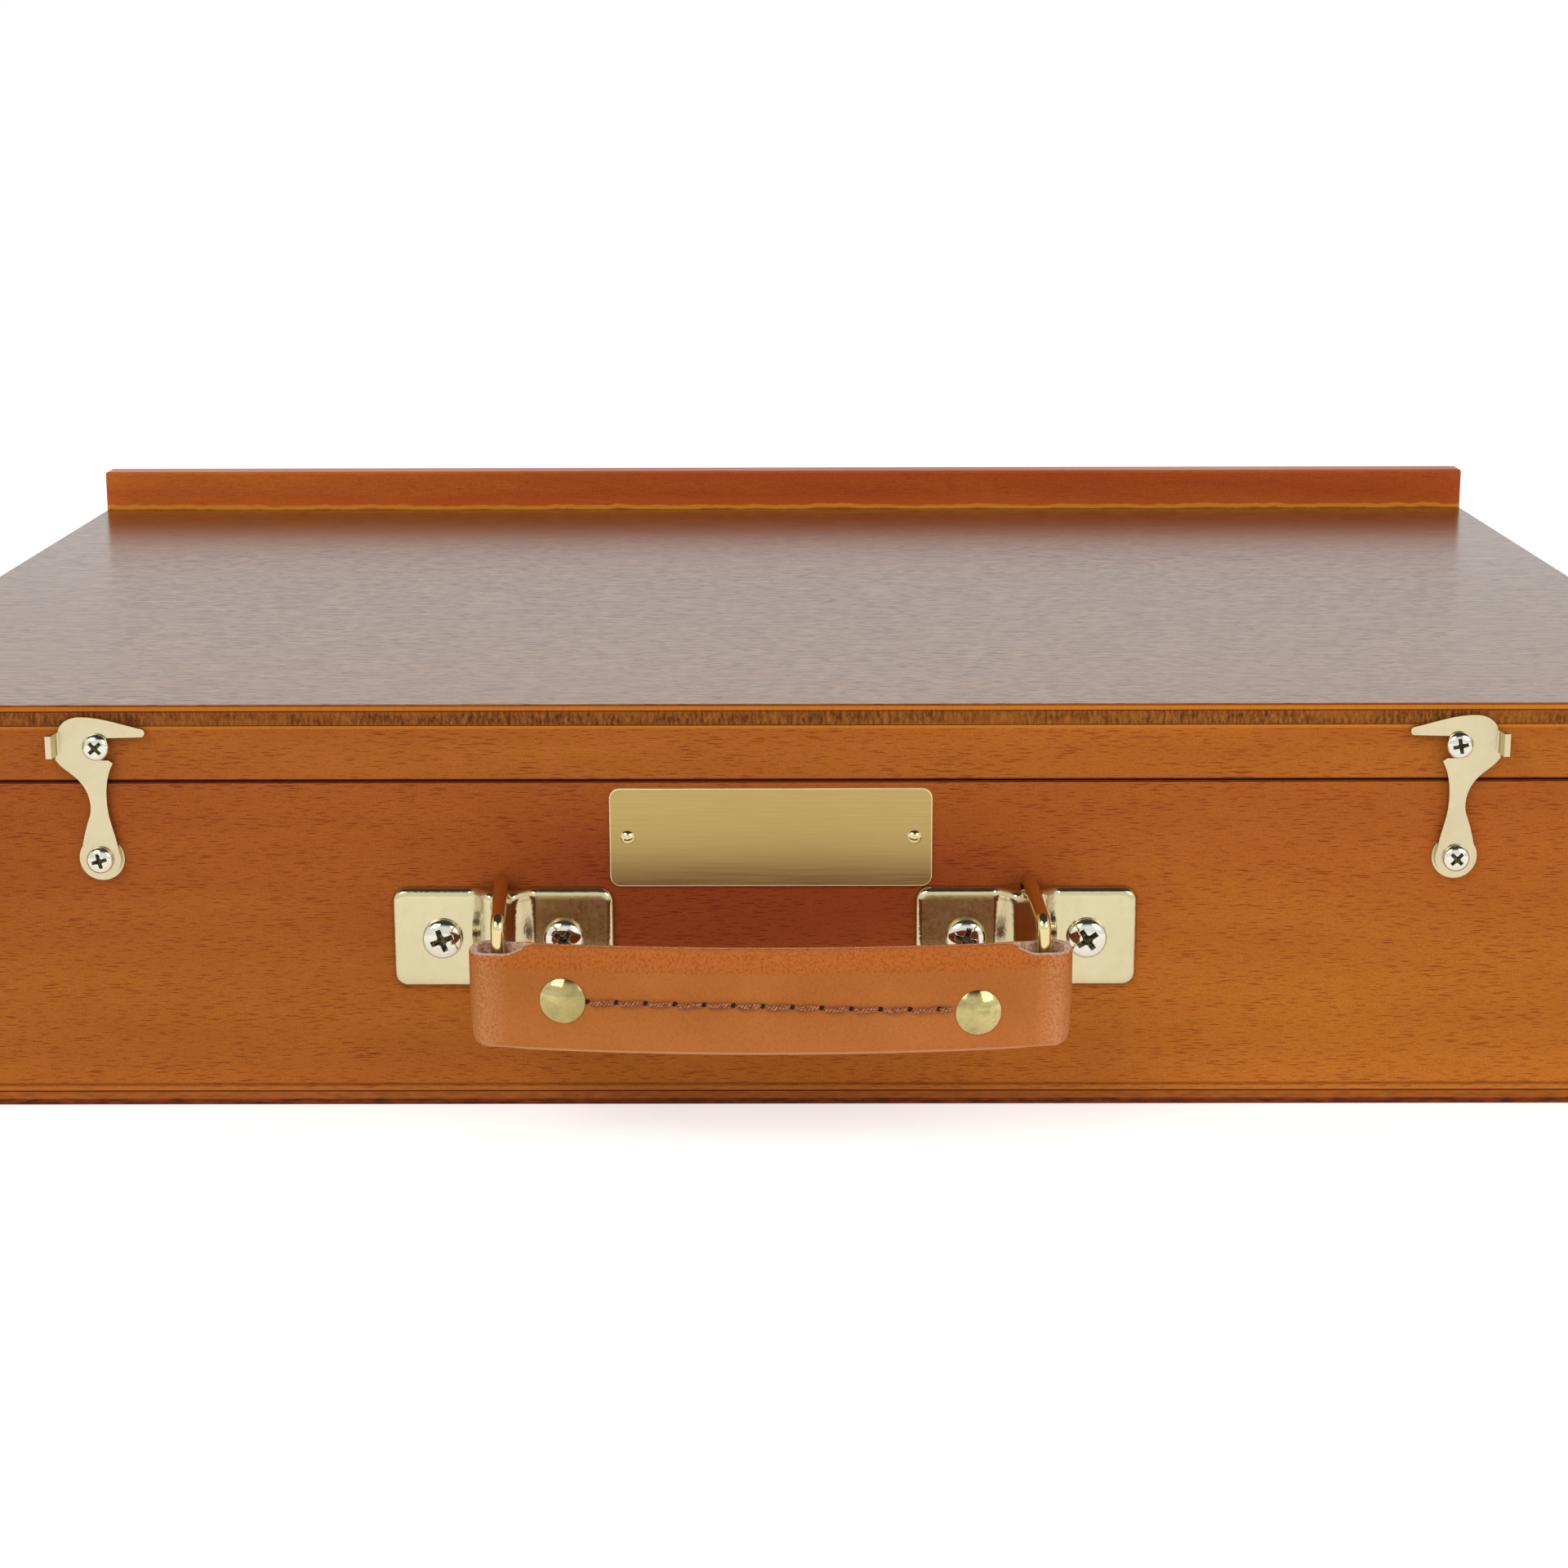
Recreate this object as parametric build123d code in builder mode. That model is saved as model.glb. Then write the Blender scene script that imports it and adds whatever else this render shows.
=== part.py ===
from build123d import *
import os
from math import asin, cos, degrees

# Pochade box: a shallow wooden paint box with a hinged lid, a carrying handle and two hook latches.
# Frame: origin at the centre of the underside, +X to the right as seen from the handle side,
# +Y towards the hinges, +Z up. The front face, with the handle, looks towards -Y. Millimetres.

# ---------------------------------------------------------------- case and lid
case_width = 400.0
case_depth = 300.0
wall_thickness = 10.0
wall_height = 65.8
bottom_thickness = 3.2
rim_gap = 0.4
lid_rail_height = 10.6
lid_panel_thickness = 5.0
base_fingers = 9
lid_fingers = 3
edge_rounding = 0.8
tolerance = 0.01
ledge_height = 11.2
ledge_thickness = 9.0

# ---------------------------------------------------------------- inside fittings
divider_thickness = 5.0
divider_height = 42.0
groove_depth = 3.0
groove_clearance = 0.1
tray_depth = 118.0
bay_count = 3
palette_thickness = 4.0
palette_side_margin = 10.0
palette_clearance = 0.5
palette_lift = 0.3
palette_corner = 14.0
thumb_hole_length = 34.0
thumb_hole_width = 24.0
thumb_hole_inset_x = 78.0
thumb_hole_inset_y = 46.0
brush_notch_radius = 13.0
cleat_width = 9.0
cleat_lip = 3.0
cleat_rabbet = 4.0

# ---------------------------------------------------------------- turn buttons
button_length = 21.0
button_radius = 4.2
button_tip_radius = 3.0
button_thickness = 1.5
button_gap = 0.3
button_end_distance = 90.0

# ---------------------------------------------------------------- label plate
label_width = 65.8
label_height = 20.6
label_thickness = 0.8
label_corner = 2.2
label_x = -1.35
label_z = 57.45
label_pin_spacing = 58.5
label_pin_radius = 1.45
label_pin_dome = 0.7
label_pin_depth = 5.0

# ---------------------------------------------------------------- handle
handle_x = -2.7
handle_z = 36.5
ring_spacing = 107.2
plate_length = 45.6
plate_height = 21.2
plate_corner = 3.0
plate_thickness = 1.8
plate_edge_rounding = 1.3
hump_foot = 12.0
hump_crown = 6.0
hump_height = 5.4
hump_bend = 1.5
wire_diameter = 2.9
wire_depth = 1.85
ring_reach = 25.15
ring_back_height = 26.2
ring_front_height = 20.8
ring_bend = 2.0
ring_clearance = 0.4
handle_shift = 1.45
strap_drop = 14.1
strap_height = 21.0
strap_loop_diameter = 8.0
strap_end_overhang = 5.75
strap_neck_drop = 1.6
strap_neck_length = 6.8
strap_neck_slope = 5.9
strap_bow = 5.0
strap_thickness = 4.6
loop_slot_width = 3.4
loop_slot_length = 5.6
strap_rivet_spacing = 80.6
rivet_drops = {-1: 0.15, 1: 2.6}
rivet_radius = 4.5
rivet_dome = 1.5
rivet_shank_radius = 1.6
rivet_washer_thickness = 0.8
leather_gap = 0.05

# ---------------------------------------------------------------- latches
latch_end_distance = 62.0
latch_pivot_z = 53.3
catch_rise = 23.5
catch_inset = 0.3
latch_thickness = 1.2
latch_washer_radius = 4.6
latch_washer_thickness = 0.7
latch_end_radius = 4.1
latch_rise = 29.6
latch_play = 0.1
latch_tab_rise = 21.8
latch_tab_height = 4.6
latch_tab_root = 6.7
latch_tab_reach = 1.5
latch_tab_length = 4.2
latch_tab_splay = 0.35
latch_tab_bend = 1.0
catch_shank_radius = 1.5
catch_clearance = 0.3
lip_clearance = 1.3

# ---------------------------------------------------------------- hinges
hinge_end_distance = 80.0
hinge_length = 30.0
hinge_leaf_height = 13.6
hinge_leaf_thickness = 1.0
knuckle_count = 5
knuckle_radius = 2.2
knuckle_standoff = 0.4
knuckle_gap = 0.2
knuckle_clearance = 0.1
knuckle_tongue_start = 0.4
knuckle_tongue_end = 2.6
knuckle_tongue_lift = 2.15
hinge_pin_radius = 1.0
pin_play = 0.05
pin_head_radius = 1.5
pin_head_length = 0.7
hinge_screw_offset = 7.0
hinge_screw_spacing = 18.0

# ---------------------------------------------------------------- lid stays
stay_setback = 85.0
stay_drop = 12.0
stay_rise = 5.0
stay_width = 8.6
stay_thickness = 1.5
stay_standoff = 2.0
stay_gap = 0.2
stay_spacer_inset = 0.6
stay_screw_extra = 0.8
elbow_play = 0.25
elbow_bolt_radius = 1.75
elbow_head_radius = 3.6
elbow_head_height = 1.6
elbow_thread_length = 4.2
wing_nut_radius = 3.4
wing_nut_height = 3.6
wing_span = 17.0
wing_thickness = 1.3
wing_height = 7.0
wing_root_radius = 1.2
wing_root_inset = 1.5
wing_root_rise = 1.4
wing_tip_radius = 2.0
wing_nut_taper = 8.0

# ---------------------------------------------------------------- screws
plate_screw_spacing = 24.8
plate_screw_head_radius = 4.15
plate_screw_head_height = 2.3
plate_screw_radius = 1.9
plate_screw_depth = 7.6
small_screw_head_radius = 2.75
small_screw_head_height = 1.7
small_screw_radius = 1.5
small_screw_depth = 7.6
flat_screw_radius = 1.2
flat_screw_depth = 7.2
pilot_clearance = 0.05
head_rim_share = 0.3

# ---------------------------------------------------------------- derived places
end_notches = base_fingers // 2
side_notches = base_fingers - end_notches
lid_front_notches = lid_fingers // 2
lid_side_notches = lid_fingers - lid_front_notches
half_width = case_width / 2
half_depth = case_depth / 2
inner_x = half_width - wall_thickness
inner_y = half_depth - wall_thickness
rim_z = bottom_thickness + wall_height
lid_z = rim_z + rim_gap
lid_panel_z = lid_z + lid_rail_height
lid_top_z = lid_panel_z + lid_panel_thickness
hinge_y = half_depth + knuckle_standoff + knuckle_radius
hinge_z = rim_z + rim_gap / 2
latch_x = half_width - latch_end_distance
hinge_x = half_width - hinge_end_distance
button_x = half_width - button_end_distance
left_ring_x = handle_x - ring_spacing / 2
right_ring_x = handle_x + ring_spacing / 2
wire_radius = wire_diameter / 2
strap_bottom_z = handle_z - strap_drop
strap_top_z = strap_bottom_z + strap_height
strap_z = (strap_top_z + strap_bottom_z) / 2
rest_sway = asin(handle_shift / ring_reach)
tray_back_y = -inner_y + tray_depth
catch_z = latch_pivot_z + catch_rise
palette_top_z = lid_panel_z - palette_lift
palette_bottom_z = palette_top_z - palette_thickness
palette_half_width = inner_x - palette_side_margin
button_top_z = palette_bottom_z - button_gap
button_y = -inner_y + cleat_width / 2
stay_lower_y = hinge_y - stay_setback
stay_lower_z = hinge_z - stay_drop
stay_upper_z = hinge_z + stay_rise
elbow_y = stay_lower_y - stay_setback
elbow_z = stay_lower_z + stay_rise
flat_head_radius = flat_screw_radius + hinge_leaf_thickness

front_plane = Plane.XZ.offset(half_depth)
back_plane = Plane((0, half_depth, 0), x_dir=(-1, 0, 0), z_dir=(0, 1, 0))

os.makedirs("parts", exist_ok=True)


def save(piece, name):
    """Label a finished piece and write it."""
    piece.part.label = name
    export_step(piece.part, f"parts/{name}.step")


# ---------------------------------------------------------------- repeated shapes
def case_wall(plane, length, low, height, fingers, notches):
    """An upright board with finger-jointed ends, drawn on a plane at its inner or outer face."""
    pitch = height / fingers
    with BuildPart() as wall:
        with BuildSketch(plane):
            with Locations((0, low + height / 2)):
                Rectangle(length, height)
                with GridLocations(length - wall_thickness, 2 * pitch, 2, notches):
                    Rectangle(wall_thickness, pitch, mode=Mode.SUBTRACT)
        extrude(amount=wall_thickness)
        outer_x = half_width - tolerance
        outer_y = half_depth - tolerance
        corners = wall.edges().filter_by(Axis.Z).filter_by(
            lambda e: abs(e.center().X) > outer_x and abs(e.center().Y) > outer_y
        )
        fillet(corners, edge_rounding)
    return wall.part


def pan_screw(head_radius, head_height, shank_radius, length):
    """A pan-head screw on +Z, with the underside of its head at the origin."""
    with BuildPart() as screw:
        with BuildSketch(Plane.XZ):
            with BuildLine():
                Polyline((0, head_height), (0, -length), (shank_radius, -length + shank_radius))
                Polyline((shank_radius, -length + shank_radius), (shank_radius, 0), (head_radius, 0))
                Line((head_radius, 0), (head_radius, head_height * head_rim_share))
                TangentArc((0, head_height), (head_radius, head_height * head_rim_share), tangent=(1, 0))
            make_face()
        revolve(axis=Axis.Z)
    return screw.part


def flat_screw(head_radius, shank_radius, length):
    """A countersunk screw on +Z, with the flat of its head at the origin."""
    taper = head_radius - shank_radius
    with BuildPart() as screw:
        with BuildSketch(Plane.XZ):
            Polygon(
                (0, 0),
                (head_radius, 0),
                (shank_radius, -taper),
                (shank_radius, -length + shank_radius),
                (0, -length),
                align=None,
            )
        revolve(axis=Axis.Z)
    return screw.part


def washer(radius, hole_radius, thickness):
    """A flat ring that stands on the origin along +Z."""
    with BuildPart() as ring:
        with BuildSketch():
            Circle(radius)
            Circle(hole_radius, mode=Mode.SUBTRACT)
        extrude(amount=thickness)
    return ring.part


def domed_rivet(radius, dome, shank_radius, length):
    """A mushroom-headed pin on +Z, with the underside of its head at the origin."""
    with BuildPart() as rivet:
        with BuildSketch(Plane.XZ):
            with BuildLine():
                Polyline((0, dome), (0, -length), (shank_radius, -length), (shank_radius, 0), (radius, 0))
                TangentArc((0, dome), (radius, 0), tangent=(1, 0))
            make_face()
        revolve(axis=Axis.Z)
    return rivet.part


# ---------------------------------------------------------------- walls of the case
front_screw_points = [
    (ring_x + shift, handle_z)
    for ring_x in (left_ring_x, right_ring_x)
    for shift in (-plate_screw_spacing / 2, plate_screw_spacing / 2)
]
latch_points = [(-latch_x, latch_pivot_z), (latch_x, latch_pivot_z)]
catch_points = [(-latch_x + catch_inset, catch_z), (latch_x - catch_inset, catch_z)]
label_pin_points = [(label_x - label_pin_spacing / 2, label_z), (label_x + label_pin_spacing / 2, label_z)]
hinge_screw_shifts = [
    side_x + shift
    for side_x in (-hinge_x, hinge_x)
    for shift in (-hinge_screw_spacing / 2, hinge_screw_spacing / 2)
]
base_hinge_screws = [(x, hinge_z - hinge_screw_offset) for x in hinge_screw_shifts]
lid_hinge_screws = [(x, hinge_z + hinge_screw_offset) for x in hinge_screw_shifts]

bay_pitch = 2 * inner_x / bay_count
cross_divider_xs = [-inner_x + bay_pitch * (i + 1) for i in range(bay_count - 1)]
groove_width = divider_thickness + 2 * groove_clearance
divider_mid_z = bottom_thickness + divider_height / 2
long_divider_y = tray_back_y + divider_thickness / 2

with BuildPart() as base_front_wall:
    front_inner = Plane.XZ.offset(inner_y)
    add(case_wall(front_inner, case_width, bottom_thickness, wall_height, base_fingers, end_notches))
    with BuildSketch(front_plane):
        with Locations(*front_screw_points):
            Circle(plate_screw_radius + pilot_clearance)
    extrude(amount=-(plate_screw_depth + pilot_clearance), mode=Mode.SUBTRACT)
    with BuildSketch(front_plane):
        with Locations(*latch_points):
            Circle(small_screw_radius + pilot_clearance)
    extrude(amount=-(small_screw_depth + pilot_clearance), mode=Mode.SUBTRACT)
    with BuildSketch(front_plane):
        with Locations(*label_pin_points):
            Circle(label_pin_radius / 2 + pilot_clearance)
    extrude(amount=-(label_pin_depth + pilot_clearance), mode=Mode.SUBTRACT)
save(base_front_wall, "base_front_wall")

with BuildPart() as base_back_wall:
    back_inner = Plane((0, inner_y, 0), x_dir=(-1, 0, 0), z_dir=(0, 1, 0))
    add(case_wall(back_inner, case_width, bottom_thickness, wall_height, base_fingers, end_notches))
    with BuildSketch(back_plane):
        with Locations(*base_hinge_screws):
            Circle(flat_screw_radius + pilot_clearance)
    extrude(amount=-(flat_screw_depth + pilot_clearance), mode=Mode.SUBTRACT)
    with BuildSketch(back_inner):
        with Locations(*[(-x, divider_mid_z) for x in cross_divider_xs]):
            Rectangle(groove_width, divider_height)
    extrude(amount=groove_depth, mode=Mode.SUBTRACT)
save(base_back_wall, "base_back_wall")

for side, side_name in ((-1, "left"), (1, "right")):
    outer_start = -half_width if side < 0 else inner_x
    with BuildPart() as base_side_wall:
        side_plane = Plane.YZ.offset(outer_start)
        add(case_wall(side_plane, case_depth, bottom_thickness, wall_height, base_fingers, side_notches))
        inner_face = Plane((side * inner_x, 0, 0), x_dir=(0, 1, 0), z_dir=(1, 0, 0))
        with BuildSketch(inner_face):
            with Locations((long_divider_y, divider_mid_z)):
                Rectangle(groove_width, divider_height)
        extrude(amount=side * groove_depth, mode=Mode.SUBTRACT)
        with BuildSketch(inner_face):
            with Locations((stay_lower_y, stay_lower_z)):
                Circle(small_screw_radius + pilot_clearance)
        extrude(amount=side * (small_screw_depth + pilot_clearance), mode=Mode.SUBTRACT)
    save(base_side_wall, f"base_{side_name}_wall")

with BuildPart() as bottom_panel:
    with BuildSketch():
        RectangleRounded(case_width, case_depth, edge_rounding)
    extrude(amount=bottom_thickness)
    fillet(bottom_panel.faces().sort_by(Axis.Z)[0].edges(), edge_rounding / 2)
save(bottom_panel, "bottom_panel")

# ---------------------------------------------------------------- dividers
with BuildPart() as long_divider:
    with BuildSketch(Plane.XY.offset(bottom_thickness)):
        with Locations((0, long_divider_y)):
            Rectangle(2 * (inner_x + groove_depth - groove_clearance), divider_thickness)
    extrude(amount=divider_height - groove_clearance)
    with BuildSketch(Plane((0, tray_back_y + divider_thickness, 0), x_dir=(-1, 0, 0), z_dir=(0, 1, 0))):
        with Locations(*[(-x, divider_mid_z) for x in cross_divider_xs]):
            Rectangle(groove_width, divider_height)
    extrude(amount=-groove_depth / 2, mode=Mode.SUBTRACT)
save(long_divider, "long_divider")

cross_front_y = tray_back_y + divider_thickness - groove_depth / 2 + groove_clearance
cross_back_y = inner_y + groove_depth - groove_clearance
for number, cross_x in enumerate(cross_divider_xs, start=1):
    with BuildPart() as cross_divider:
        with BuildSketch(Plane.XY.offset(bottom_thickness)):
            with Locations((cross_x, (cross_front_y + cross_back_y) / 2)):
                Rectangle(divider_thickness, cross_back_y - cross_front_y)
        extrude(amount=divider_height - groove_clearance)
    save(cross_divider, f"cross_divider_{number}")

# ---------------------------------------------------------------- lid
with BuildPart() as lid_front_rail:
    add(case_wall(front_inner, case_width, lid_z, lid_rail_height, lid_fingers, lid_front_notches))
    with BuildSketch(front_plane):
        with Locations(*catch_points):
            Circle(catch_shank_radius + pilot_clearance)
    extrude(amount=-(small_screw_depth + pilot_clearance), mode=Mode.SUBTRACT)
save(lid_front_rail, "lid_front_rail")

with BuildPart() as lid_back_rail:
    add(case_wall(back_inner, case_width, lid_z, lid_rail_height, lid_fingers, lid_front_notches))
    with BuildSketch(back_plane):
        with Locations(*lid_hinge_screws):
            Circle(flat_screw_radius + pilot_clearance)
    extrude(amount=-(flat_screw_depth + pilot_clearance), mode=Mode.SUBTRACT)
save(lid_back_rail, "lid_back_rail")

for side, side_name in ((-1, "left"), (1, "right")):
    outer_start = -half_width if side < 0 else inner_x
    with BuildPart() as lid_side_rail:
        side_plane = Plane.YZ.offset(outer_start)
        add(case_wall(side_plane, case_depth, lid_z, lid_rail_height, lid_fingers, lid_side_notches))
        inner_face = Plane((side * inner_x, 0, 0), x_dir=(0, 1, 0), z_dir=(1, 0, 0))
        with BuildSketch(inner_face):
            with Locations((stay_lower_y, stay_upper_z)):
                Circle(small_screw_radius + pilot_clearance)
        extrude(amount=side * (small_screw_depth + pilot_clearance), mode=Mode.SUBTRACT)
    save(lid_side_rail, f"lid_{side_name}_rail")

with BuildPart() as lid_panel:
    with BuildSketch(Plane.XY.offset(lid_panel_z)):
        RectangleRounded(case_width, case_depth, edge_rounding)
    extrude(amount=lid_panel_thickness)
    top_edges = lid_panel.faces().sort_by(Axis.Z)[-1].edges()
    fillet(top_edges.filter_by(lambda e: e.center().Y < half_depth - tolerance), edge_rounding / 2)
save(lid_panel, "lid_panel")

with BuildPart() as canvas_ledge:
    with BuildSketch(Plane.XY.offset(lid_top_z)):
        with Locations((0, half_depth - ledge_thickness / 2)):
            Rectangle(case_width, ledge_thickness)
    extrude(amount=ledge_height)
    fillet(canvas_ledge.edges().filter_by(Axis.Z), edge_rounding)
    fillet(canvas_ledge.faces().sort_by(Axis.Z)[-1].edges(), edge_rounding)
save(canvas_ledge, "canvas_ledge")

# ---------------------------------------------------------------- palette and what holds it
palette_front_y = -inner_y + cleat_width + palette_clearance
palette_back_y = inner_y - cleat_width + cleat_rabbet - palette_clearance
with BuildPart() as palette:
    palette_mid_y = (palette_front_y + palette_back_y) / 2
    with BuildSketch(Plane.XY.offset(palette_bottom_z)):
        with Locations((0, palette_mid_y)):
            RectangleRounded(2 * palette_half_width, palette_back_y - palette_front_y, palette_corner)
        with Locations((palette_half_width - thumb_hole_inset_x, palette_front_y + thumb_hole_inset_y)):
            Ellipse(thumb_hole_length / 2, thumb_hole_width / 2, rotation=25, mode=Mode.SUBTRACT)
        with Locations((palette_half_width - thumb_hole_inset_x / 2, palette_front_y)):
            Circle(brush_notch_radius, mode=Mode.SUBTRACT)
    extrude(amount=palette_thickness)
save(palette, "palette")

cleat_length = 2 * (palette_half_width - palette_corner)
with BuildPart() as palette_rear_cleat:
    rabbet_top = palette_top_z + palette_lift
    rabbet_bottom = palette_bottom_z - palette_lift
    with BuildSketch(Plane.YZ.offset(-cleat_length / 2)):
        Polygon(
            (inner_y, rabbet_top),
            (inner_y, rabbet_bottom - cleat_lip),
            (inner_y - cleat_width, rabbet_bottom - cleat_lip),
            (inner_y - cleat_width, rabbet_bottom),
            (inner_y - cleat_width + cleat_rabbet, rabbet_bottom),
            (inner_y - cleat_width + cleat_rabbet, rabbet_top),
            align=None,
        )
    extrude(amount=cleat_length)
save(palette_rear_cleat, "palette_rear_cleat")

button_points = [(-button_x, button_y), (button_x, button_y)]
with BuildPart() as palette_front_cleat:
    with BuildSketch(Plane.XY.offset(palette_bottom_z)):
        with Locations((0, button_y)):
            Rectangle(cleat_length, cleat_width)
        with Locations(*button_points):
            Circle(flat_screw_radius + pilot_clearance, mode=Mode.SUBTRACT)
    extrude(amount=lid_panel_z - palette_bottom_z)
save(palette_front_cleat, "palette_front_cleat")

for (pivot_x, pivot_y), side_name in zip(button_points, ("left", "right")):
    with BuildPart() as turn_button:
        with BuildSketch(Plane.XY.offset(button_top_z)):
            with Locations((pivot_x, pivot_y)):
                Circle(button_radius)
            with Locations((pivot_x, pivot_y + button_length - button_radius - button_tip_radius)):
                Circle(button_tip_radius)
            make_hull()
            with Locations((pivot_x, pivot_y)):
                Circle(flat_screw_radius + pin_play, mode=Mode.SUBTRACT)
        extrude(amount=-button_thickness)
    save(turn_button, f"turn_button_{side_name}")

button_under_z = button_top_z - button_thickness - latch_play
with BuildPart() as button_screws:
    button_grip = lid_panel_z - button_under_z - pilot_clearance
    button_screw = pan_screw(
        small_screw_head_radius,
        small_screw_head_height,
        flat_screw_radius,
        button_grip,
    )
    with Locations(Plane((0, 0, button_under_z), x_dir=(1, 0, 0), z_dir=(0, 0, -1))):
        with Locations(*[(x, -y) for x, y in button_points]):
            add(button_screw)
save(button_screws, "button_screws")

# ---------------------------------------------------------------- label plate
with BuildPart() as label_plate:
    with BuildSketch(front_plane):
        with Locations((label_x, label_z)):
            RectangleRounded(label_width, label_height, label_corner)
        with Locations(*label_pin_points):
            Circle(label_pin_radius / 2 + pilot_clearance, mode=Mode.SUBTRACT)
    extrude(amount=label_thickness)
    fillet(label_plate.faces().sort_by(Axis.Y)[0].outer_wire().edges(), label_thickness / 3)
save(label_plate, "label_plate")

with BuildPart() as label_pins:
    pin = domed_rivet(label_pin_radius, label_pin_dome, label_pin_radius / 2, label_pin_depth)
    with Locations(front_plane):
        with Locations(*[(x, z, label_thickness) for x, z in label_pin_points]):
            add(pin)
save(label_pins, "label_pins")

# ---------------------------------------------------------------- handle
def ring_plate(centre_x):
    """A pressed plate with a raised channel that holds one upright of a handle ring."""
    half = plate_length / 2
    mid = plate_thickness / 2
    crown = hump_height - mid
    with BuildPart() as plate:
        with BuildSketch(Plane((centre_x, -half_depth, handle_z - plate_height / 2))):
            with BuildLine() as channel:
                FilletPolyline(
                    (-half, -mid),
                    (-hump_foot / 2, -mid),
                    (-hump_crown / 2, -crown),
                    (hump_crown / 2, -crown),
                    (hump_foot / 2, -mid),
                    (half, -mid),
                    radius=hump_bend,
                )
            trace(channel.line, line_width=plate_thickness)
        extrude(amount=plate_height)
        ends = plate.edges().filter_by(Axis.Y)
        fillet(ends.sort_by(Axis.X)[:2] + ends.sort_by(Axis.X)[-2:], plate_corner)
        skin = plate.faces().filter_by(lambda f: f.normal_at().Y < -0.3)
        skin_edges = [e for f in skin for e in f.edges()]
        fillet([e for e in skin_edges if skin_edges.count(e) == 1], plate_edge_rounding)
        with BuildSketch(front_plane):
            with Locations((centre_x, handle_z)):
                with GridLocations(plate_screw_spacing, 0, 2, 1):
                    Circle(plate_screw_radius + pilot_clearance)
        extrude(amount=plate_thickness, mode=Mode.SUBTRACT)
    return plate


for centre_x, side_name in ((left_ring_x, "left"), (right_ring_x, "right")):
    handle_plate = ring_plate(centre_x)
    save(handle_plate, f"handle_plate_{side_name}")

with BuildPart() as handle_screws:
    plate_screw = pan_screw(
        plate_screw_head_radius,
        plate_screw_head_height,
        plate_screw_radius,
        plate_thickness + plate_screw_depth,
    )
    with Locations(front_plane):
        with Locations(*[(x, z, plate_thickness) for x, z in front_screw_points]):
            add(plate_screw)
save(handle_screws, "handle_screws")

ring_back_y = -half_depth - wire_depth
for centre_x, side_name in ((left_ring_x, "left"), (right_ring_x, "right")):
    ring_plane = Plane((centre_x, ring_back_y, handle_z), x_dir=(0, -1, 0), z_dir=(-1, 0, 0))
    with BuildPart() as ring:
        with BuildLine(ring_plane.rotated((0, 0, degrees(rest_sway)))) as loop:
            FilletPolyline(
                (0, ring_back_height / 2),
                (0, -ring_back_height / 2),
                (ring_reach, -ring_front_height / 2),
                (ring_reach, ring_front_height / 2),
                radius=ring_bend,
                close=True,
            )
        with BuildSketch(Plane((centre_x, ring_back_y, handle_z))):
            Circle(wire_radius)
        sweep(path=loop.line)
    save(ring, f"ring_{side_name}")

strap_x = handle_x + handle_shift
grip_y = ring_back_y - ring_reach * cos(rest_sway)
loop_radius = strap_loop_diameter / 2
loop_x = ring_spacing / 2 + strap_end_overhang - loop_radius
rivet_x = strap_rivet_spacing / 2
back_join_x = rivet_x + rivet_radius
strap_slope = 2 * strap_bow * rivet_x / loop_x**2
rivet_mid_y = grip_y - loop_radius - strap_bow * (1 - (rivet_x / loop_x) ** 2) + strap_thickness / 2


def rivet_plane(rivet_side, out):
    """A plane square to the bowed leather at one rivet, a distance out from the middle of the leather."""
    middle = Plane(
        (strap_x + rivet_side * rivet_x, rivet_mid_y, strap_z - rivet_drops[rivet_side]),
        x_dir=(0, 0, 1),
        z_dir=(rivet_side * strap_slope, -1, 0),
    )
    return middle.offset(out)


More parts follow.
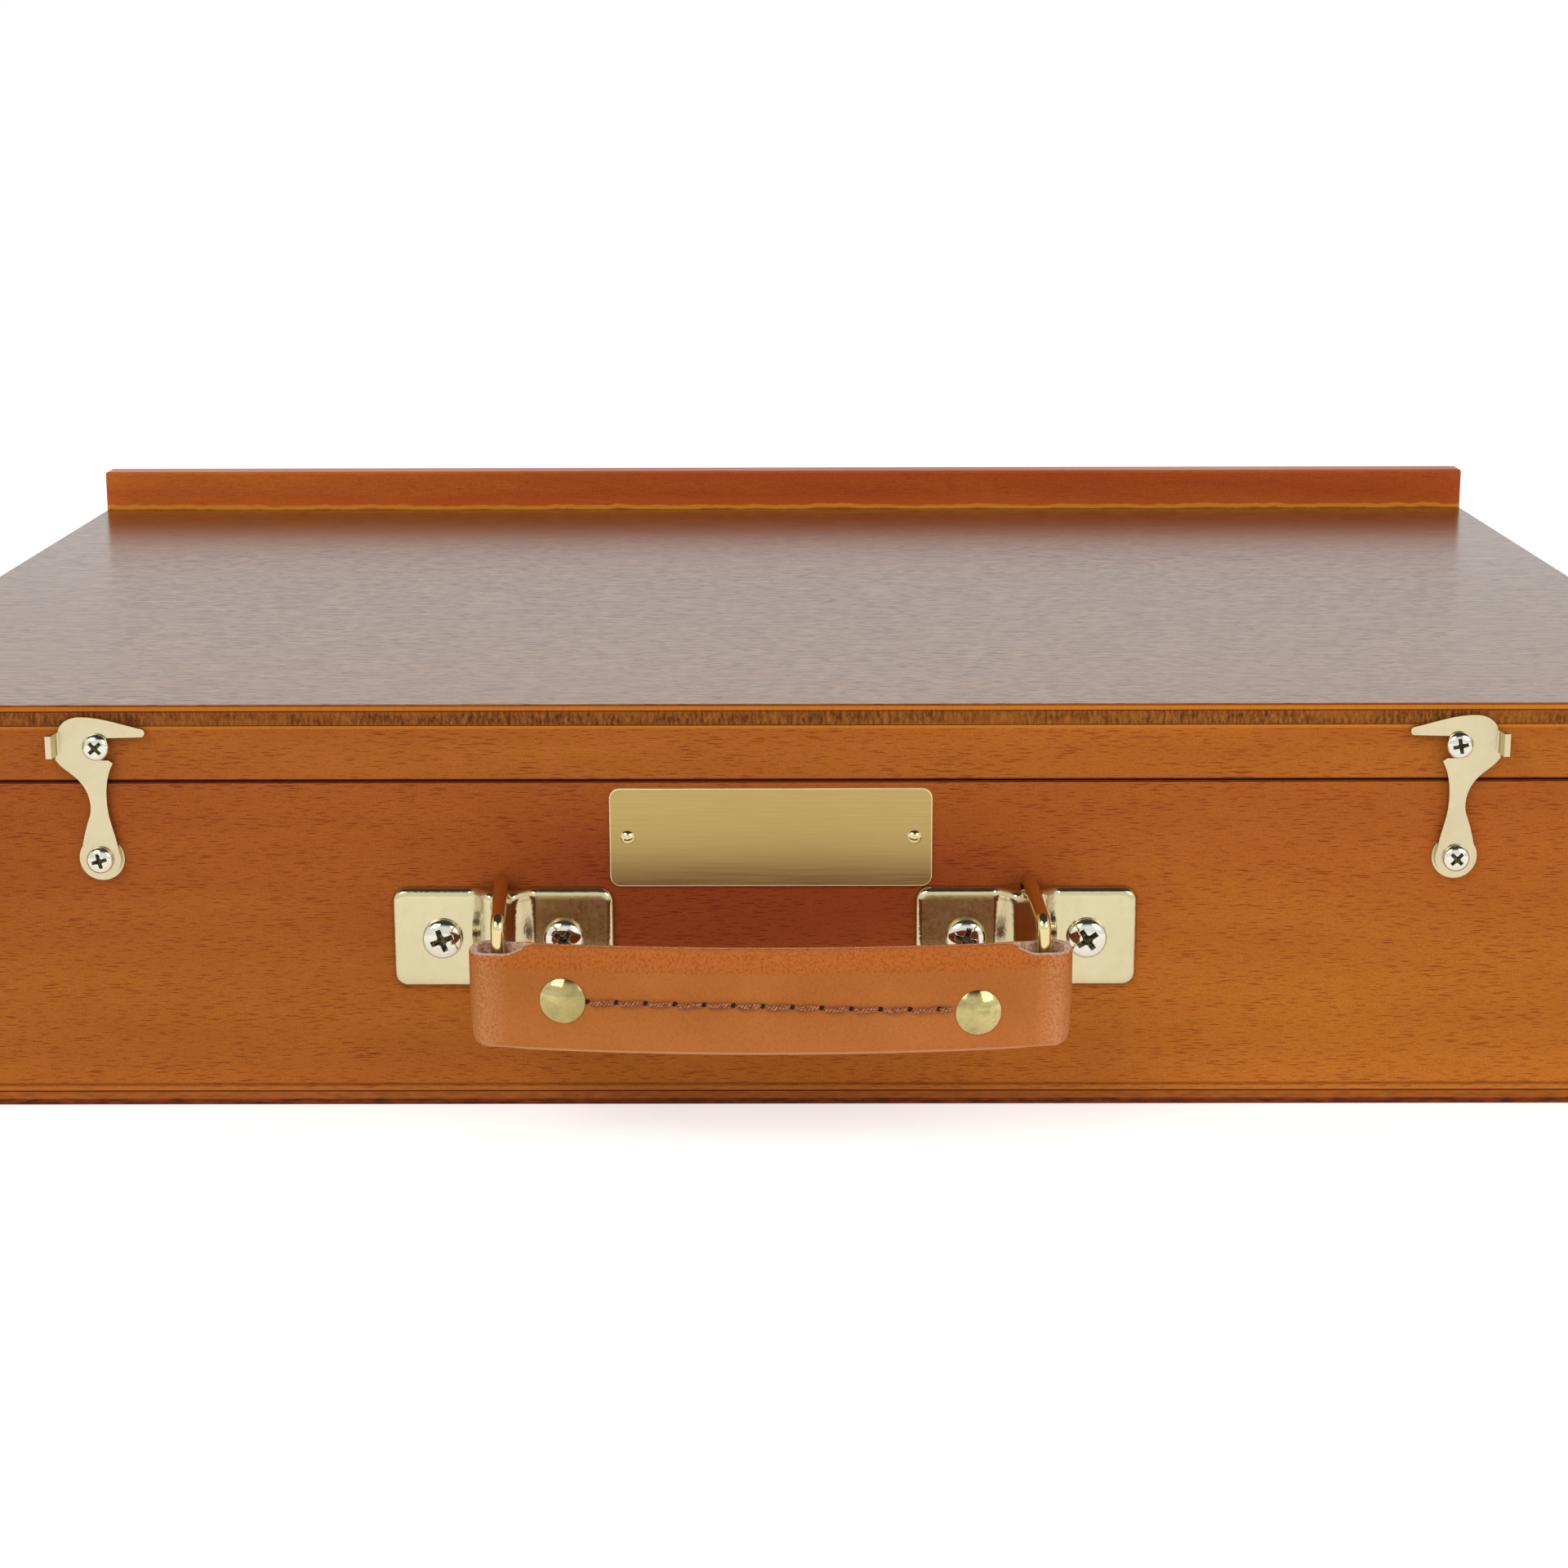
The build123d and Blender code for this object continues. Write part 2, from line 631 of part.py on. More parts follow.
with BuildPart() as handle_strap:
    with BuildSketch(Plane((strap_x, grip_y, strap_bottom_z))):
        with BuildLine():
            ThreePointArc((-loop_x, -loop_radius), (0, -loop_radius - strap_bow), (loop_x, -loop_radius))
            ThreePointArc((loop_x, -loop_radius), (loop_x + loop_radius, 0), (loop_x, loop_radius))
            back_mid = -loop_radius - strap_bow + strap_thickness
            join_y = back_mid + strap_bow * (back_join_x / loop_x) ** 2
            join_slope = 2 * strap_bow * back_join_x / loop_x**2
            Spline(
                (loop_x, loop_radius),
                (back_join_x, join_y),
                tangents=((-1, 0), (-1, -join_slope)),
            )
            ThreePointArc((back_join_x, join_y), (0, back_mid), (-back_join_x, join_y))
            Spline(
                (-back_join_x, join_y),
                (-loop_x, loop_radius),
                tangents=((-1, join_slope), (-1, 0)),
            )
            ThreePointArc((-loop_x, loop_radius), (-loop_x - loop_radius, 0), (-loop_x, -loop_radius))
        make_face()
        with GridLocations(ring_spacing + loop_slot_length - loop_slot_width, 0, 2, 1):
            SlotOverall(loop_slot_length, loop_slot_width, mode=Mode.SUBTRACT)
    extrude(amount=strap_height)
    neck_z = strap_top_z - strap_neck_drop
    neck_end_x = loop_x + loop_radius
    link_top_z = handle_z - ring_front_height / 2 + wire_radius + ring_clearance
    for end_side in (-1, 1):
        with BuildSketch(Plane((strap_x, grip_y, 0), x_dir=(end_side, 0, 0), z_dir=(0, -end_side, 0))):
            Polygon(
                (neck_end_x, neck_z),
                (neck_end_x - strap_neck_length, neck_z),
                (neck_end_x - strap_neck_length - strap_neck_slope, strap_top_z),
                (neck_end_x, strap_top_z),
                align=None,
            )
        extrude(amount=loop_radius + strap_bow, both=True, mode=Mode.SUBTRACT)
        with BuildSketch(Plane((strap_x, grip_y, strap_bottom_z))):
            with Locations((end_side * back_join_x, -loop_slot_width / 2)):
                Rectangle(
                    loop_x + loop_radius - back_join_x,
                    loop_radius + loop_slot_width / 2,
                    align=(Align.MAX if end_side < 0 else Align.MIN, Align.MIN),
                )
        extrude(amount=link_top_z - strap_bottom_z, mode=Mode.SUBTRACT)
    for rivet_side in (-1, 1):
        with BuildSketch(rivet_plane(rivet_side, -strap_thickness)):
            Circle(rivet_shank_radius + pilot_clearance)
        extrude(amount=2 * strap_thickness, mode=Mode.SUBTRACT)
save(handle_strap, "handle_strap")

with BuildPart() as handle_rivets:
    rivet = domed_rivet(rivet_radius, rivet_dome, rivet_shank_radius, strap_thickness + 2 * leather_gap)
    burr = washer(rivet_radius * 0.8, rivet_shank_radius, rivet_washer_thickness)
    for rivet_side in (-1, 1):
        with Locations(rivet_plane(rivet_side, strap_thickness / 2 + leather_gap)):
            add(rivet)
        with Locations(rivet_plane(rivet_side, -strap_thickness / 2 - leather_gap - rivet_washer_thickness)):
            add(burr)
save(handle_rivets, "handle_rivets")

# ---------------------------------------------------------------- latches
def hook_point(across, up):
    """A point of the hook outline from its pivot, towards the middle of the case and up, in
    hundredths of the height of the hook."""
    return (across * latch_rise / 100, up * latch_rise / 100)


def hook_points(*points):
    """Several points of the hook outline."""
    return [hook_point(*point) for point in points]


neck_left = hook_point(-12.67, 5.57)
neck_right = hook_point(12.67, 5.57)
notch_low = catch_rise - catch_shank_radius - lip_clearance
notch_high = catch_rise + catch_shank_radius + catch_clearance
notch_middle = (notch_low + notch_high) / 2
notch_blind_x = catch_inset - catch_shank_radius - catch_clearance
latch_back_y = -half_depth - latch_washer_thickness - latch_play
screw_seat = latch_washer_thickness + 2 * latch_play + latch_thickness


def hook_latch(side):
    """A flat hook plate that turns on its lower end, with a bent thumb tab on its outer shoulder."""
    pivot = Plane((side * latch_x, latch_back_y, latch_pivot_z), x_dir=(-side, 0, 0), z_dir=(0, side, 0))
    mouth_x = notch_blind_x + (notch_high - notch_low) / 2
    lip_tip, lip_shoulder = hook_points((11.7, 67.9), (8.8, 100 * notch_low / latch_rise))
    tip_under, tip_over, crown = hook_points((31.1, 86.1), (31.4, 91.9), (-10.5, 100))
    tab_top, tab_foot, waist = hook_points((-25, 89.2), (-27.4, 70.6), (-5.7, 31.4))
    lip_side = hook_points((10.1, 18.9), (7.3, 30.4), (6.2, 42.9), (7.3, 55.7))
    tab_side = hook_points((-25.3, 67.6), (-17.1, 60.5), (-9.5, 52.4), (-5.4, 41.9))
    with BuildPart() as latch:
        with BuildSketch(pivot):
            with BuildLine():
                ThreePointArc(neck_left, (0, -latch_end_radius), neck_right)
                Spline(neck_right, *lip_side, lip_tip)
                Polyline(lip_tip, lip_shoulder, (mouth_x, notch_low))
                ThreePointArc((mouth_x, notch_low), (notch_blind_x, notch_middle), (mouth_x, notch_high))
                Line((mouth_x, notch_high), tip_under)
                ThreePointArc(tip_under, hook_point(34.3, 89.2), tip_over)
                Spline(tip_over, *hook_points((16.2, 95.9), (2.7, 99)), crown)
                Spline(crown, *hook_points((-17.1, 98.6), (-22, 95.3)), tab_top)
                Line(tab_top, tab_foot)
                Spline(tab_foot, *tab_side, waist)
                Spline(waist, hook_point(-8.8, 22.3), neck_left)
            make_face()
            Circle(small_screw_radius + pin_play, mode=Mode.SUBTRACT)
        extrude(amount=-side * latch_thickness)
        tab_root = (side * (latch_x + latch_tab_root), latch_back_y, latch_pivot_z + latch_tab_rise)
        with BuildSketch(Plane(tab_root)):
            with BuildLine() as tab:
                mid = latch_thickness / 2
                FilletPolyline(
                    (0, -mid),
                    (side * latch_tab_reach, -mid),
                    (side * (latch_tab_reach + latch_tab_splay), -mid - latch_tab_length),
                    radius=latch_tab_bend,
                )
            trace(tab.line, line_width=latch_thickness)
        extrude(amount=latch_tab_height)
    return latch


for side, side_name in ((-1, "left"), (1, "right")):
    latch = hook_latch(side)
    save(latch, f"latch_{side_name}")

with BuildPart() as latch_washers:
    latch_washer = washer(latch_washer_radius, small_screw_radius, latch_washer_thickness)
    with Locations(front_plane):
        with Locations(*latch_points):
            add(latch_washer)
save(latch_washers, "latch_washers")

small_screw = pan_screw(
    small_screw_head_radius,
    small_screw_head_height,
    small_screw_radius,
    screw_seat + small_screw_depth,
)
with BuildPart() as latch_pivot_screws:
    with Locations(front_plane):
        with Locations(*[(x, z, screw_seat) for x, z in latch_points]):
            add(small_screw)
save(latch_pivot_screws, "latch_pivot_screws")

with BuildPart() as latch_catch_screws:
    with Locations(front_plane):
        with Locations(*[(x, z, screw_seat) for x, z in catch_points]):
            add(small_screw)
save(latch_catch_screws, "latch_catch_screws")

# ---------------------------------------------------------------- hinges
knuckle_length = hinge_length / knuckle_count
clear_radius = knuckle_radius + knuckle_standoff - knuckle_clearance


def hinge_leaf(centre_x, way):
    """One leaf of a butt hinge; way is -1 for the lower leaf and 1 for the upper leaf."""
    own = [i for i in range(knuckle_count) if i % 2 == (0 if way < 0 else 1)]
    other = [i for i in range(knuckle_count) if i not in own]
    start_x = centre_x - hinge_length / 2
    with BuildPart() as leaf:
        with BuildSketch(back_plane):
            with Locations((-centre_x, hinge_z + way * hinge_leaf_height / 2)):
                Rectangle(hinge_length, hinge_leaf_height)
        extrude(amount=hinge_leaf_thickness)
        outer_corners = leaf.edges().filter_by(Axis.Y).group_by(Axis.Z)[0 if way < 0 else -1]
        fillet(outer_corners, hinge_leaf_thickness)
        with BuildSketch(Plane.YZ.offset(start_x)):
            with Locations((hinge_y, hinge_z)):
                Circle(clear_radius)
        extrude(amount=hinge_length, mode=Mode.SUBTRACT)
        with BuildSketch(back_plane):
            with Locations((-centre_x, hinge_z - way * hinge_leaf_height / 2)):
                Rectangle(hinge_length, hinge_leaf_height)
        extrude(amount=hinge_leaf_thickness, mode=Mode.SUBTRACT)
        for i in own:
            with BuildSketch(Plane.YZ.offset(start_x + i * knuckle_length + knuckle_gap / 2)):
                with Locations((hinge_y, hinge_z)):
                    Circle(knuckle_radius)
                with BuildLine():
                    Polyline(
                        (half_depth, hinge_z + way * knuckle_tongue_start),
                        (half_depth, hinge_z + way * knuckle_tongue_end),
                        (half_depth + hinge_leaf_thickness, hinge_z + way * knuckle_tongue_end),
                        (hinge_y, hinge_z + way * knuckle_tongue_lift),
                        (hinge_y, hinge_z + way * knuckle_tongue_start),
                        close=True,
                    )
                make_face()
                with Locations((hinge_y, hinge_z)):
                    Circle(hinge_pin_radius + pin_play, mode=Mode.SUBTRACT)
            extrude(amount=knuckle_length - knuckle_gap)
        hole_row = Plane(
            (centre_x, half_depth + hinge_leaf_thickness, hinge_z + way * hinge_screw_offset),
            x_dir=(-1, 0, 0),
            z_dir=(0, 1, 0),
        )
        with Locations(hole_row):
            with GridLocations(hinge_screw_spacing, 0, 2, 1):
                CounterSinkHole(
                    radius=flat_screw_radius + pilot_clearance,
                    counter_sink_radius=flat_head_radius + pilot_clearance,
                    depth=hinge_leaf_thickness,
                    counter_sink_angle=90,
                )
    return leaf


for side, side_name in ((-1, "left"), (1, "right")):
    lower_leaf = hinge_leaf(side * hinge_x, -1)
    save(lower_leaf, f"hinge_leaf_base_{side_name}")
    upper_leaf = hinge_leaf(side * hinge_x, 1)
    save(upper_leaf, f"hinge_leaf_lid_{side_name}")

with BuildPart() as hinge_pins:
    pin_starts = [(side * hinge_x - hinge_length / 2 - pin_head_length) for side in (-1, 1)]
    for pin_start in pin_starts:
        with BuildSketch(Plane.YZ.offset(pin_start)):
            with Locations((hinge_y, hinge_z)):
                Circle(hinge_pin_radius)
        extrude(amount=hinge_length + 2 * pin_head_length)
        for head_start in (pin_start, pin_start + hinge_length + pin_head_length):
            with BuildSketch(Plane.YZ.offset(head_start)):
                with Locations((hinge_y, hinge_z)):
                    Circle(pin_head_radius)
            extrude(amount=pin_head_length)
save(hinge_pins, "hinge_pins")

hinge_screw = flat_screw(flat_head_radius, flat_screw_radius, hinge_leaf_thickness + flat_screw_depth)
for row_name, row_points in (("base", base_hinge_screws), ("lid", lid_hinge_screws)):
    with BuildPart() as hinge_screws:
        with Locations(back_plane):
            with Locations(*[(x, z, hinge_leaf_thickness) for x, z in row_points]):
                add(hinge_screw)
    save(hinge_screws, f"hinge_screws_{row_name}")

# ---------------------------------------------------------------- lid stays
# Each stay is two equal-offset links that fold at an elbow, clamped by a wing nut. The elbow, the two
# fixed pivots and the hinge axis make a parallelogram, so both links turn by the angle of the lid.
lower_link_x = inner_x - stay_standoff
upper_link_x = lower_link_x - stay_thickness - stay_gap
nut_seat_x = upper_link_x - stay_thickness - latch_play


def stay_link(side, outer_x, first, last, last_hole):
    """A flat link with round ends between two pivot points, each given as (y, z)."""
    with BuildPart() as link:
        with BuildSketch(Plane((side * outer_x, 0, 0), x_dir=(0, 1, 0), z_dir=(1, 0, 0))):
            with Locations(first, last):
                Circle(stay_width / 2)
            make_hull()
            with Locations(first):
                Circle(small_screw_radius + pin_play, mode=Mode.SUBTRACT)
            with Locations(last):
                Circle(last_hole, mode=Mode.SUBTRACT)
        extrude(amount=-side * stay_thickness)
    return link


def inward(side, x, y, z):
    """A plane that looks from a side wall towards the middle of the case."""
    return Plane((side * x, y, z), x_dir=(0, 1, 0), z_dir=(-side, 0, 0))


lower_pivot = (stay_lower_y, stay_lower_z)
upper_pivot = (stay_lower_y, stay_upper_z)
elbow = (elbow_y, elbow_z)
for side, side_name in ((-1, "left"), (1, "right")):
    lower_link = stay_link(side, lower_link_x, lower_pivot, elbow, elbow_bolt_radius + pin_play)
    save(lower_link, f"stay_lower_{side_name}")
    upper_link = stay_link(side, upper_link_x, upper_pivot, elbow, elbow_bolt_radius + elbow_play)
    save(upper_link, f"stay_upper_{side_name}")

    with BuildPart() as elbow_bolt:
        bolt_length = lower_link_x - nut_seat_x + elbow_thread_length
        bolt = domed_rivet(elbow_head_radius, elbow_head_height, elbow_bolt_radius, bolt_length)
        with Locations(Plane((side * lower_link_x, elbow_y, elbow_z), x_dir=(0, 1, 0), z_dir=(side, 0, 0))):
            add(bolt)
    save(elbow_bolt, f"elbow_bolt_{side_name}")

    with BuildPart() as wing_nut:
        with BuildSketch(inward(side, nut_seat_x, elbow_y, elbow_z)):
            Circle(wing_nut_radius)
        extrude(amount=wing_nut_height, taper=wing_nut_taper)
        with BuildSketch(Plane.XY.offset(elbow_z)):
            for wing_side in (-1, 1):
                wing_y = elbow_y + wing_side * (wing_nut_radius - wing_root_inset)
                tip_y = elbow_y + wing_side * (wing_span / 2 - wing_tip_radius)
                with BuildSketch(Plane.XY, mode=Mode.PRIVATE) as wing:
                    with Locations((side * (nut_seat_x - wing_root_rise), wing_y)):
                        Circle(wing_root_radius)
                    with Locations((side * (nut_seat_x - wing_height + wing_tip_radius), tip_y)):
                        Circle(wing_tip_radius)
                    make_hull()
                add(wing.sketch)
        extrude(amount=wing_thickness / 2, both=True)
        with BuildSketch(inward(side, nut_seat_x, elbow_y, elbow_z)):
            Circle(elbow_bolt_radius + pin_play)
        extrude(amount=wing_height, mode=Mode.SUBTRACT)
    save(wing_nut, f"wing_nut_{side_name}")

stay_rows = (
    ("base", lower_pivot, stay_standoff),
    ("lid", upper_pivot, stay_standoff + stay_thickness + stay_gap),
)
for row_name, pivot_point, standoff in stay_rows:
    spacer = washer(stay_width / 2 - stay_spacer_inset, small_screw_radius, standoff - latch_play)
    seat = standoff + stay_thickness + latch_play
    stay_screw = pan_screw(
        small_screw_head_radius + stay_screw_extra,
        small_screw_head_height,
        small_screw_radius,
        seat + small_screw_depth,
    )
    with BuildPart() as stay_spacers:
        for side in (-1, 1):
            with Locations(inward(side, inner_x, *pivot_point)):
                add(spacer)
    save(stay_spacers, f"stay_spacers_{row_name}")
    with BuildPart() as stay_screws:
        for side in (-1, 1):
            with Locations(inward(side, inner_x - seat, *pivot_point)):
                add(stay_screw)
    save(stay_screws, f"stay_screws_{row_name}")
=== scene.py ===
import math
import random

import bmesh
import bpy
from mathutils import Matrix, Vector


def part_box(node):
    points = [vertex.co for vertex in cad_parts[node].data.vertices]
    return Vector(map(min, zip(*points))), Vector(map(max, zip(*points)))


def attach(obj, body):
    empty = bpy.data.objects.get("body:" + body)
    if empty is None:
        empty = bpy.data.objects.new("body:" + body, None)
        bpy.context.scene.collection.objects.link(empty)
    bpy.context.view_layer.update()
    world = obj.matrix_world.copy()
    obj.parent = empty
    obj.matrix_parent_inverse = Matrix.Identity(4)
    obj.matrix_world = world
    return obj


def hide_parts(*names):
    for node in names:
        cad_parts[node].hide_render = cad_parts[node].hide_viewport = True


# Looks of the pochade box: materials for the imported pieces, and modelled leather, thread, screws and
# rounded metal. Metres, in the row frame: +X right, +Y towards the hinges, +Z up.

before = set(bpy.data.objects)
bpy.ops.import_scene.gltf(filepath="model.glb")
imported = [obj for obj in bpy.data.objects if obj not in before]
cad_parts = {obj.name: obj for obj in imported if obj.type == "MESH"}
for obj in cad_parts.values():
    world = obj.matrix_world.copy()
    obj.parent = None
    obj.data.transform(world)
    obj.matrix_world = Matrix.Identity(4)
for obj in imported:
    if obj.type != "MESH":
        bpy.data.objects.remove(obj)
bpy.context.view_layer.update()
bpy.context.scene.view_settings.view_transform = "Standard"

MM = 0.001
TURN = math.pi * 2
WHITE = (1, 1, 1, 1)
LID_SEAM = (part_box("base_front_wall")[1].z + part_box("lid_front_rail")[0].z) / 2


# ---------------------------------------------------------------- small helpers
def rgb(red, green, blue):
    """A display colour from 0 to 255 as a linear shader colour."""
    linear = []
    for channel in (red, green, blue):
        share = channel / 255
        linear.append(share / 12.92 if share <= 0.04045 else ((share + 0.055) / 1.055) ** 2.4)
    return (*linear, 1.0)


def middle(node):
    """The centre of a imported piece."""
    low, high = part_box(node)
    return (low + high) / 2


def level_and_height(node):
    """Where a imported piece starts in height, and how high it is."""
    low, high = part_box(node)
    return low.z, high.z - low.z


def scaled(tone, red, green, blue):
    """A colour with each channel multiplied by a factor."""
    return (tone[0] * red, tone[1] * green, tone[2] * blue, 1)


def new_object(name, data):
    """An object of the scene, round a mesh, lamp or camera."""
    thing = bpy.data.objects.new(name, data)
    bpy.context.scene.collection.objects.link(thing)
    return thing


class Tree:
    """Short calls for the nodes of one shader tree."""

    def __init__(self, tree):
        self.nodes, self.links = tree.nodes, tree.links
        self.place = self.add("ShaderNodeTexCoord")

    def add(self, kind, **settings):
        node = self.nodes.new(kind)
        for key, value in settings.items():
            setattr(node, key, value)
        return node

    def feed(self, socket, value):
        """Links another node's socket, or sets a plain value."""
        if isinstance(value, bpy.types.NodeSocket):
            self.links.new(value, socket)
        else:
            socket.default_value = value

    def band(self, value, low, high, to_low=0.0, to_high=1.0, smooth=False):
        """Maps low..high of a value to to_low..to_high, and clamps it."""
        node = self.add("ShaderNodeMapRange", interpolation_type="SMOOTHSTEP" if smooth else "LINEAR")
        self.feed(node.inputs["Value"], value)
        for name, number in (("From Min", low), ("From Max", high), ("To Min", to_low), ("To Max", to_high)):
            node.inputs[name].default_value = number
        return node.outputs["Result"]

    def calc(self, operation, *values):
        """A math node on sockets or numbers."""
        node = self.add("ShaderNodeMath", operation=operation)
        for socket, value in zip(node.inputs, values):
            self.feed(socket, value)
        return node.outputs["Value"]

    def times(self, first, second):
        return self.calc("MULTIPLY", first, second)

    def distance(self, value, level):
        """How far a value is from a level, either way."""
        return self.calc("ABSOLUTE", self.calc("SUBTRACT", value, level))

    def mix(self, factor, first, second, blend="MIX"):
        node = self.add("ShaderNodeMix", data_type="RGBA", blend_type=blend)
        for name, value in (("Factor", factor), ("A", first), ("B", second)):
            self.feed(node.inputs[name], value)
        return node.outputs["Result"]

    def axes(self, socket="Object"):
        node = self.add("ShaderNodeSeparateXYZ")
        self.links.new(self.place.outputs[socket], node.inputs["Vector"])
        return node.outputs["X"], node.outputs["Y"], node.outputs["Z"]

    def tinted(self, factor, tone, tint):
        """A colour multiplied by a tint, by a factor."""
        return self.mix(1.0, tone, self.mix(factor, WHITE, (*tint, 1)), "MULTIPLY")


class Shader(Tree):
    """The nodes of one material, round its principled surface."""

    def __init__(self, name, **inputs):
        self.material = bpy.data.materials.new(name)
        self.material.use_nodes = True
        super().__init__(self.material.node_tree)
        self.surface = self.nodes["Principled BSDF"]
        self.wear(**inputs)

    def grain(self, *scale):
        """Object coordinates for a texture, scaled by one number or by one for each axis."""
        stretched = self.add("ShaderNodeMapping", vector_type="POINT")
        stretched.inputs["Scale"].default_value = scale * 3 if len(scale) == 1 else scale
        self.links.new(self.place.outputs["Object"], stretched.inputs["Vector"])
        return stretched.outputs["Vector"]

    def noise(self, vector, detail=3.0, roughness=0.5, distortion=0.0):
        node = self.add("ShaderNodeTexNoise")
        self.links.new(vector, node.inputs["Vector"])
        node.inputs["Scale"].default_value = 1.0
        node.inputs["Detail"].default_value = detail
        node.inputs["Roughness"].default_value = roughness
        node.inputs["Distortion"].default_value = distortion
        return node.outputs["Fac"]

    def flow(self, along, length, across, shift=0.0):
        """Wood coordinates: along the grain and across it, counted in the given lengths in millimetres."""
        x, y, z = self.axes()
        run, side = (x, y) if along == "X" else (y, x)
        node = self.add("ShaderNodeCombineXYZ")
        self.feed(node.inputs["X"], self.calc("MULTIPLY_ADD", run, 1000 / length, shift))
        self.feed(node.inputs["Y"], self.times(self.calc("ADD", side, z), 1000 / across))
        node.inputs["Z"].default_value = shift
        return node.outputs["Vector"]

    def dashes(self, along, cell, pitch, reach, cluster, shift=0.0):
        """Short dark flecks along the grain, one in each cell, longer and darker where they cluster."""
        node = self.add("ShaderNodeTexVoronoi", voronoi_dimensions="2D")
        self.links.new(self.flow(along, cell, pitch, shift), node.inputs["Vector"])
        node.inputs["Scale"].default_value = 1.0
        longer = self.band(cluster, 0.3, 0.7, -0.4 * reach, 0.4 * reach)
        away = self.calc("SUBTRACT", node.outputs["Distance"], longer)
        return self.band(away, reach, 0.5 * reach)

    def cells(self, vector):
        """Distance to the nearest of scattered points, one in each unit cell."""
        node = self.add("ShaderNodeTexVoronoi")
        self.links.new(vector, node.inputs["Vector"])
        node.inputs["Scale"].default_value = 1.0
        return node.outputs["Distance"]

    def bump(self, height, depth, strength):
        node = self.add("ShaderNodeBump")
        for name, value in (("Height", height), ("Distance", depth), ("Strength", strength)):
            self.feed(node.inputs[name], value)
        return node.outputs["Normal"]

    def wear(self, **sockets):
        """Feeds named inputs of the surface, such as Base_Color or Roughness, and gives the material."""
        for key, value in sockets.items():
            self.feed(self.surface.inputs[key.replace("_", " ")], value)
        return self.material


# ---------------------------------------------------------------- wood
FLECK_TINT = (0.36, 0.12, 0.16)
END_TONE = rgb(142, 74, 28)


def beech(name, along, deep, mid, light, stain_and_shade=None, ends=END_TONE, fleck=0.62, rough=0.40, shine=0.12):
    """Stained, varnished beech: an even tone with faint figure, fine pores and short dark flecks."""
    s = Shader(name, Specular_IOR_Level=shine, Specular_Tint=(0.8, 0.6, 0.4, 1))
    figure = s.noise(s.flow(along, 70, 9), detail=5, roughness=0.55, distortion=0.4)
    drift = s.noise(s.flow(along, 160, 30, 5.0), detail=2)
    fine = s.noise(s.flow(along, 7, 0.28), roughness=0.7)
    tone = s.mix(s.band(figure, 0.28, 0.72), mid, light)
    tone = s.mix(s.band(drift, 0.35, 0.65, 0.0, 0.22), tone, deep)
    tone = s.mix(s.band(fine, 0.30, 0.60, 0.38, 0.0), tone, deep)
    cluster = s.noise(s.flow(along, 26, 3.5, 2.0), detail=2)
    long_flecks = s.dashes(along, 8.5, 0.62, 0.17, cluster)
    short_flecks = s.dashes(along, 3.8, 0.42, 0.18, cluster, 7.3)
    marks = s.calc("MAXIMUM", s.times(long_flecks, fleck), s.times(short_flecks, fleck * 0.6))
    tone = s.tinted(marks, tone, FLECK_TINT)
    speckle = s.noise(s.grain(2600), detail=2, roughness=0.7)
    tone = s.tinted(s.band(speckle, 0.60, 0.36), tone, (0.84, 0.80, 0.78))
    if stain_and_shade:
        tone = stain_and_shade(s, tone)
    endwise = s.calc("ABSOLUTE", s.axes("Normal")["XY".index(along)])
    pores = s.cells(s.grain(2600))
    end_grain = s.mix(s.band(pores, 0.2, 0.5, 0.55, 0.0), ends, scaled(ends, 0.3, 0.25, 0.2))
    tone = s.mix(s.band(endwise, 0.6, 0.8), tone, end_grain)
    height = s.calc("SUBTRACT", s.times(fine, 0.5), long_flecks)
    return s.wear(
        Base_Color=tone,
        Roughness=s.band(drift, 0.3, 0.7, rough - 0.05, rough + 0.08),
        Normal=s.bump(height, 0.02 * MM, 0.5),
    )


def seam_shade(s, tone):
    """Painted shade: a dark line on the outward faces where the lid and the base meet."""
    outward = s.axes("Normal")[1]
    near = s.band(s.distance(s.axes()[2], LID_SEAM), 0.60 * MM, 0.30 * MM, 0.0, 0.95, smooth=True)
    line = s.times(near, s.band(outward, -0.4, -0.6))
    return s.tinted(line, tone, (0.10, 0.07, 0.08))


def light_left_to_right(s, tone):
    """Painted light: the front gets a little lighter and yellower from the left end to the right one."""
    return s.tinted(s.band(s.axes()[0], -160 * MM, 170 * MM, smooth=True), tone, (1.20, 1.27, 1.10))


# Middle and reach of a painted shade round the handle and the label.
FITTINGS_SHADE_MIDDLE, FITTINGS_SHADE_REACH = (-7 * MM, 43 * MM), (72 * MM, 26 * MM)
FOOT_LINE = 4.5 * MM


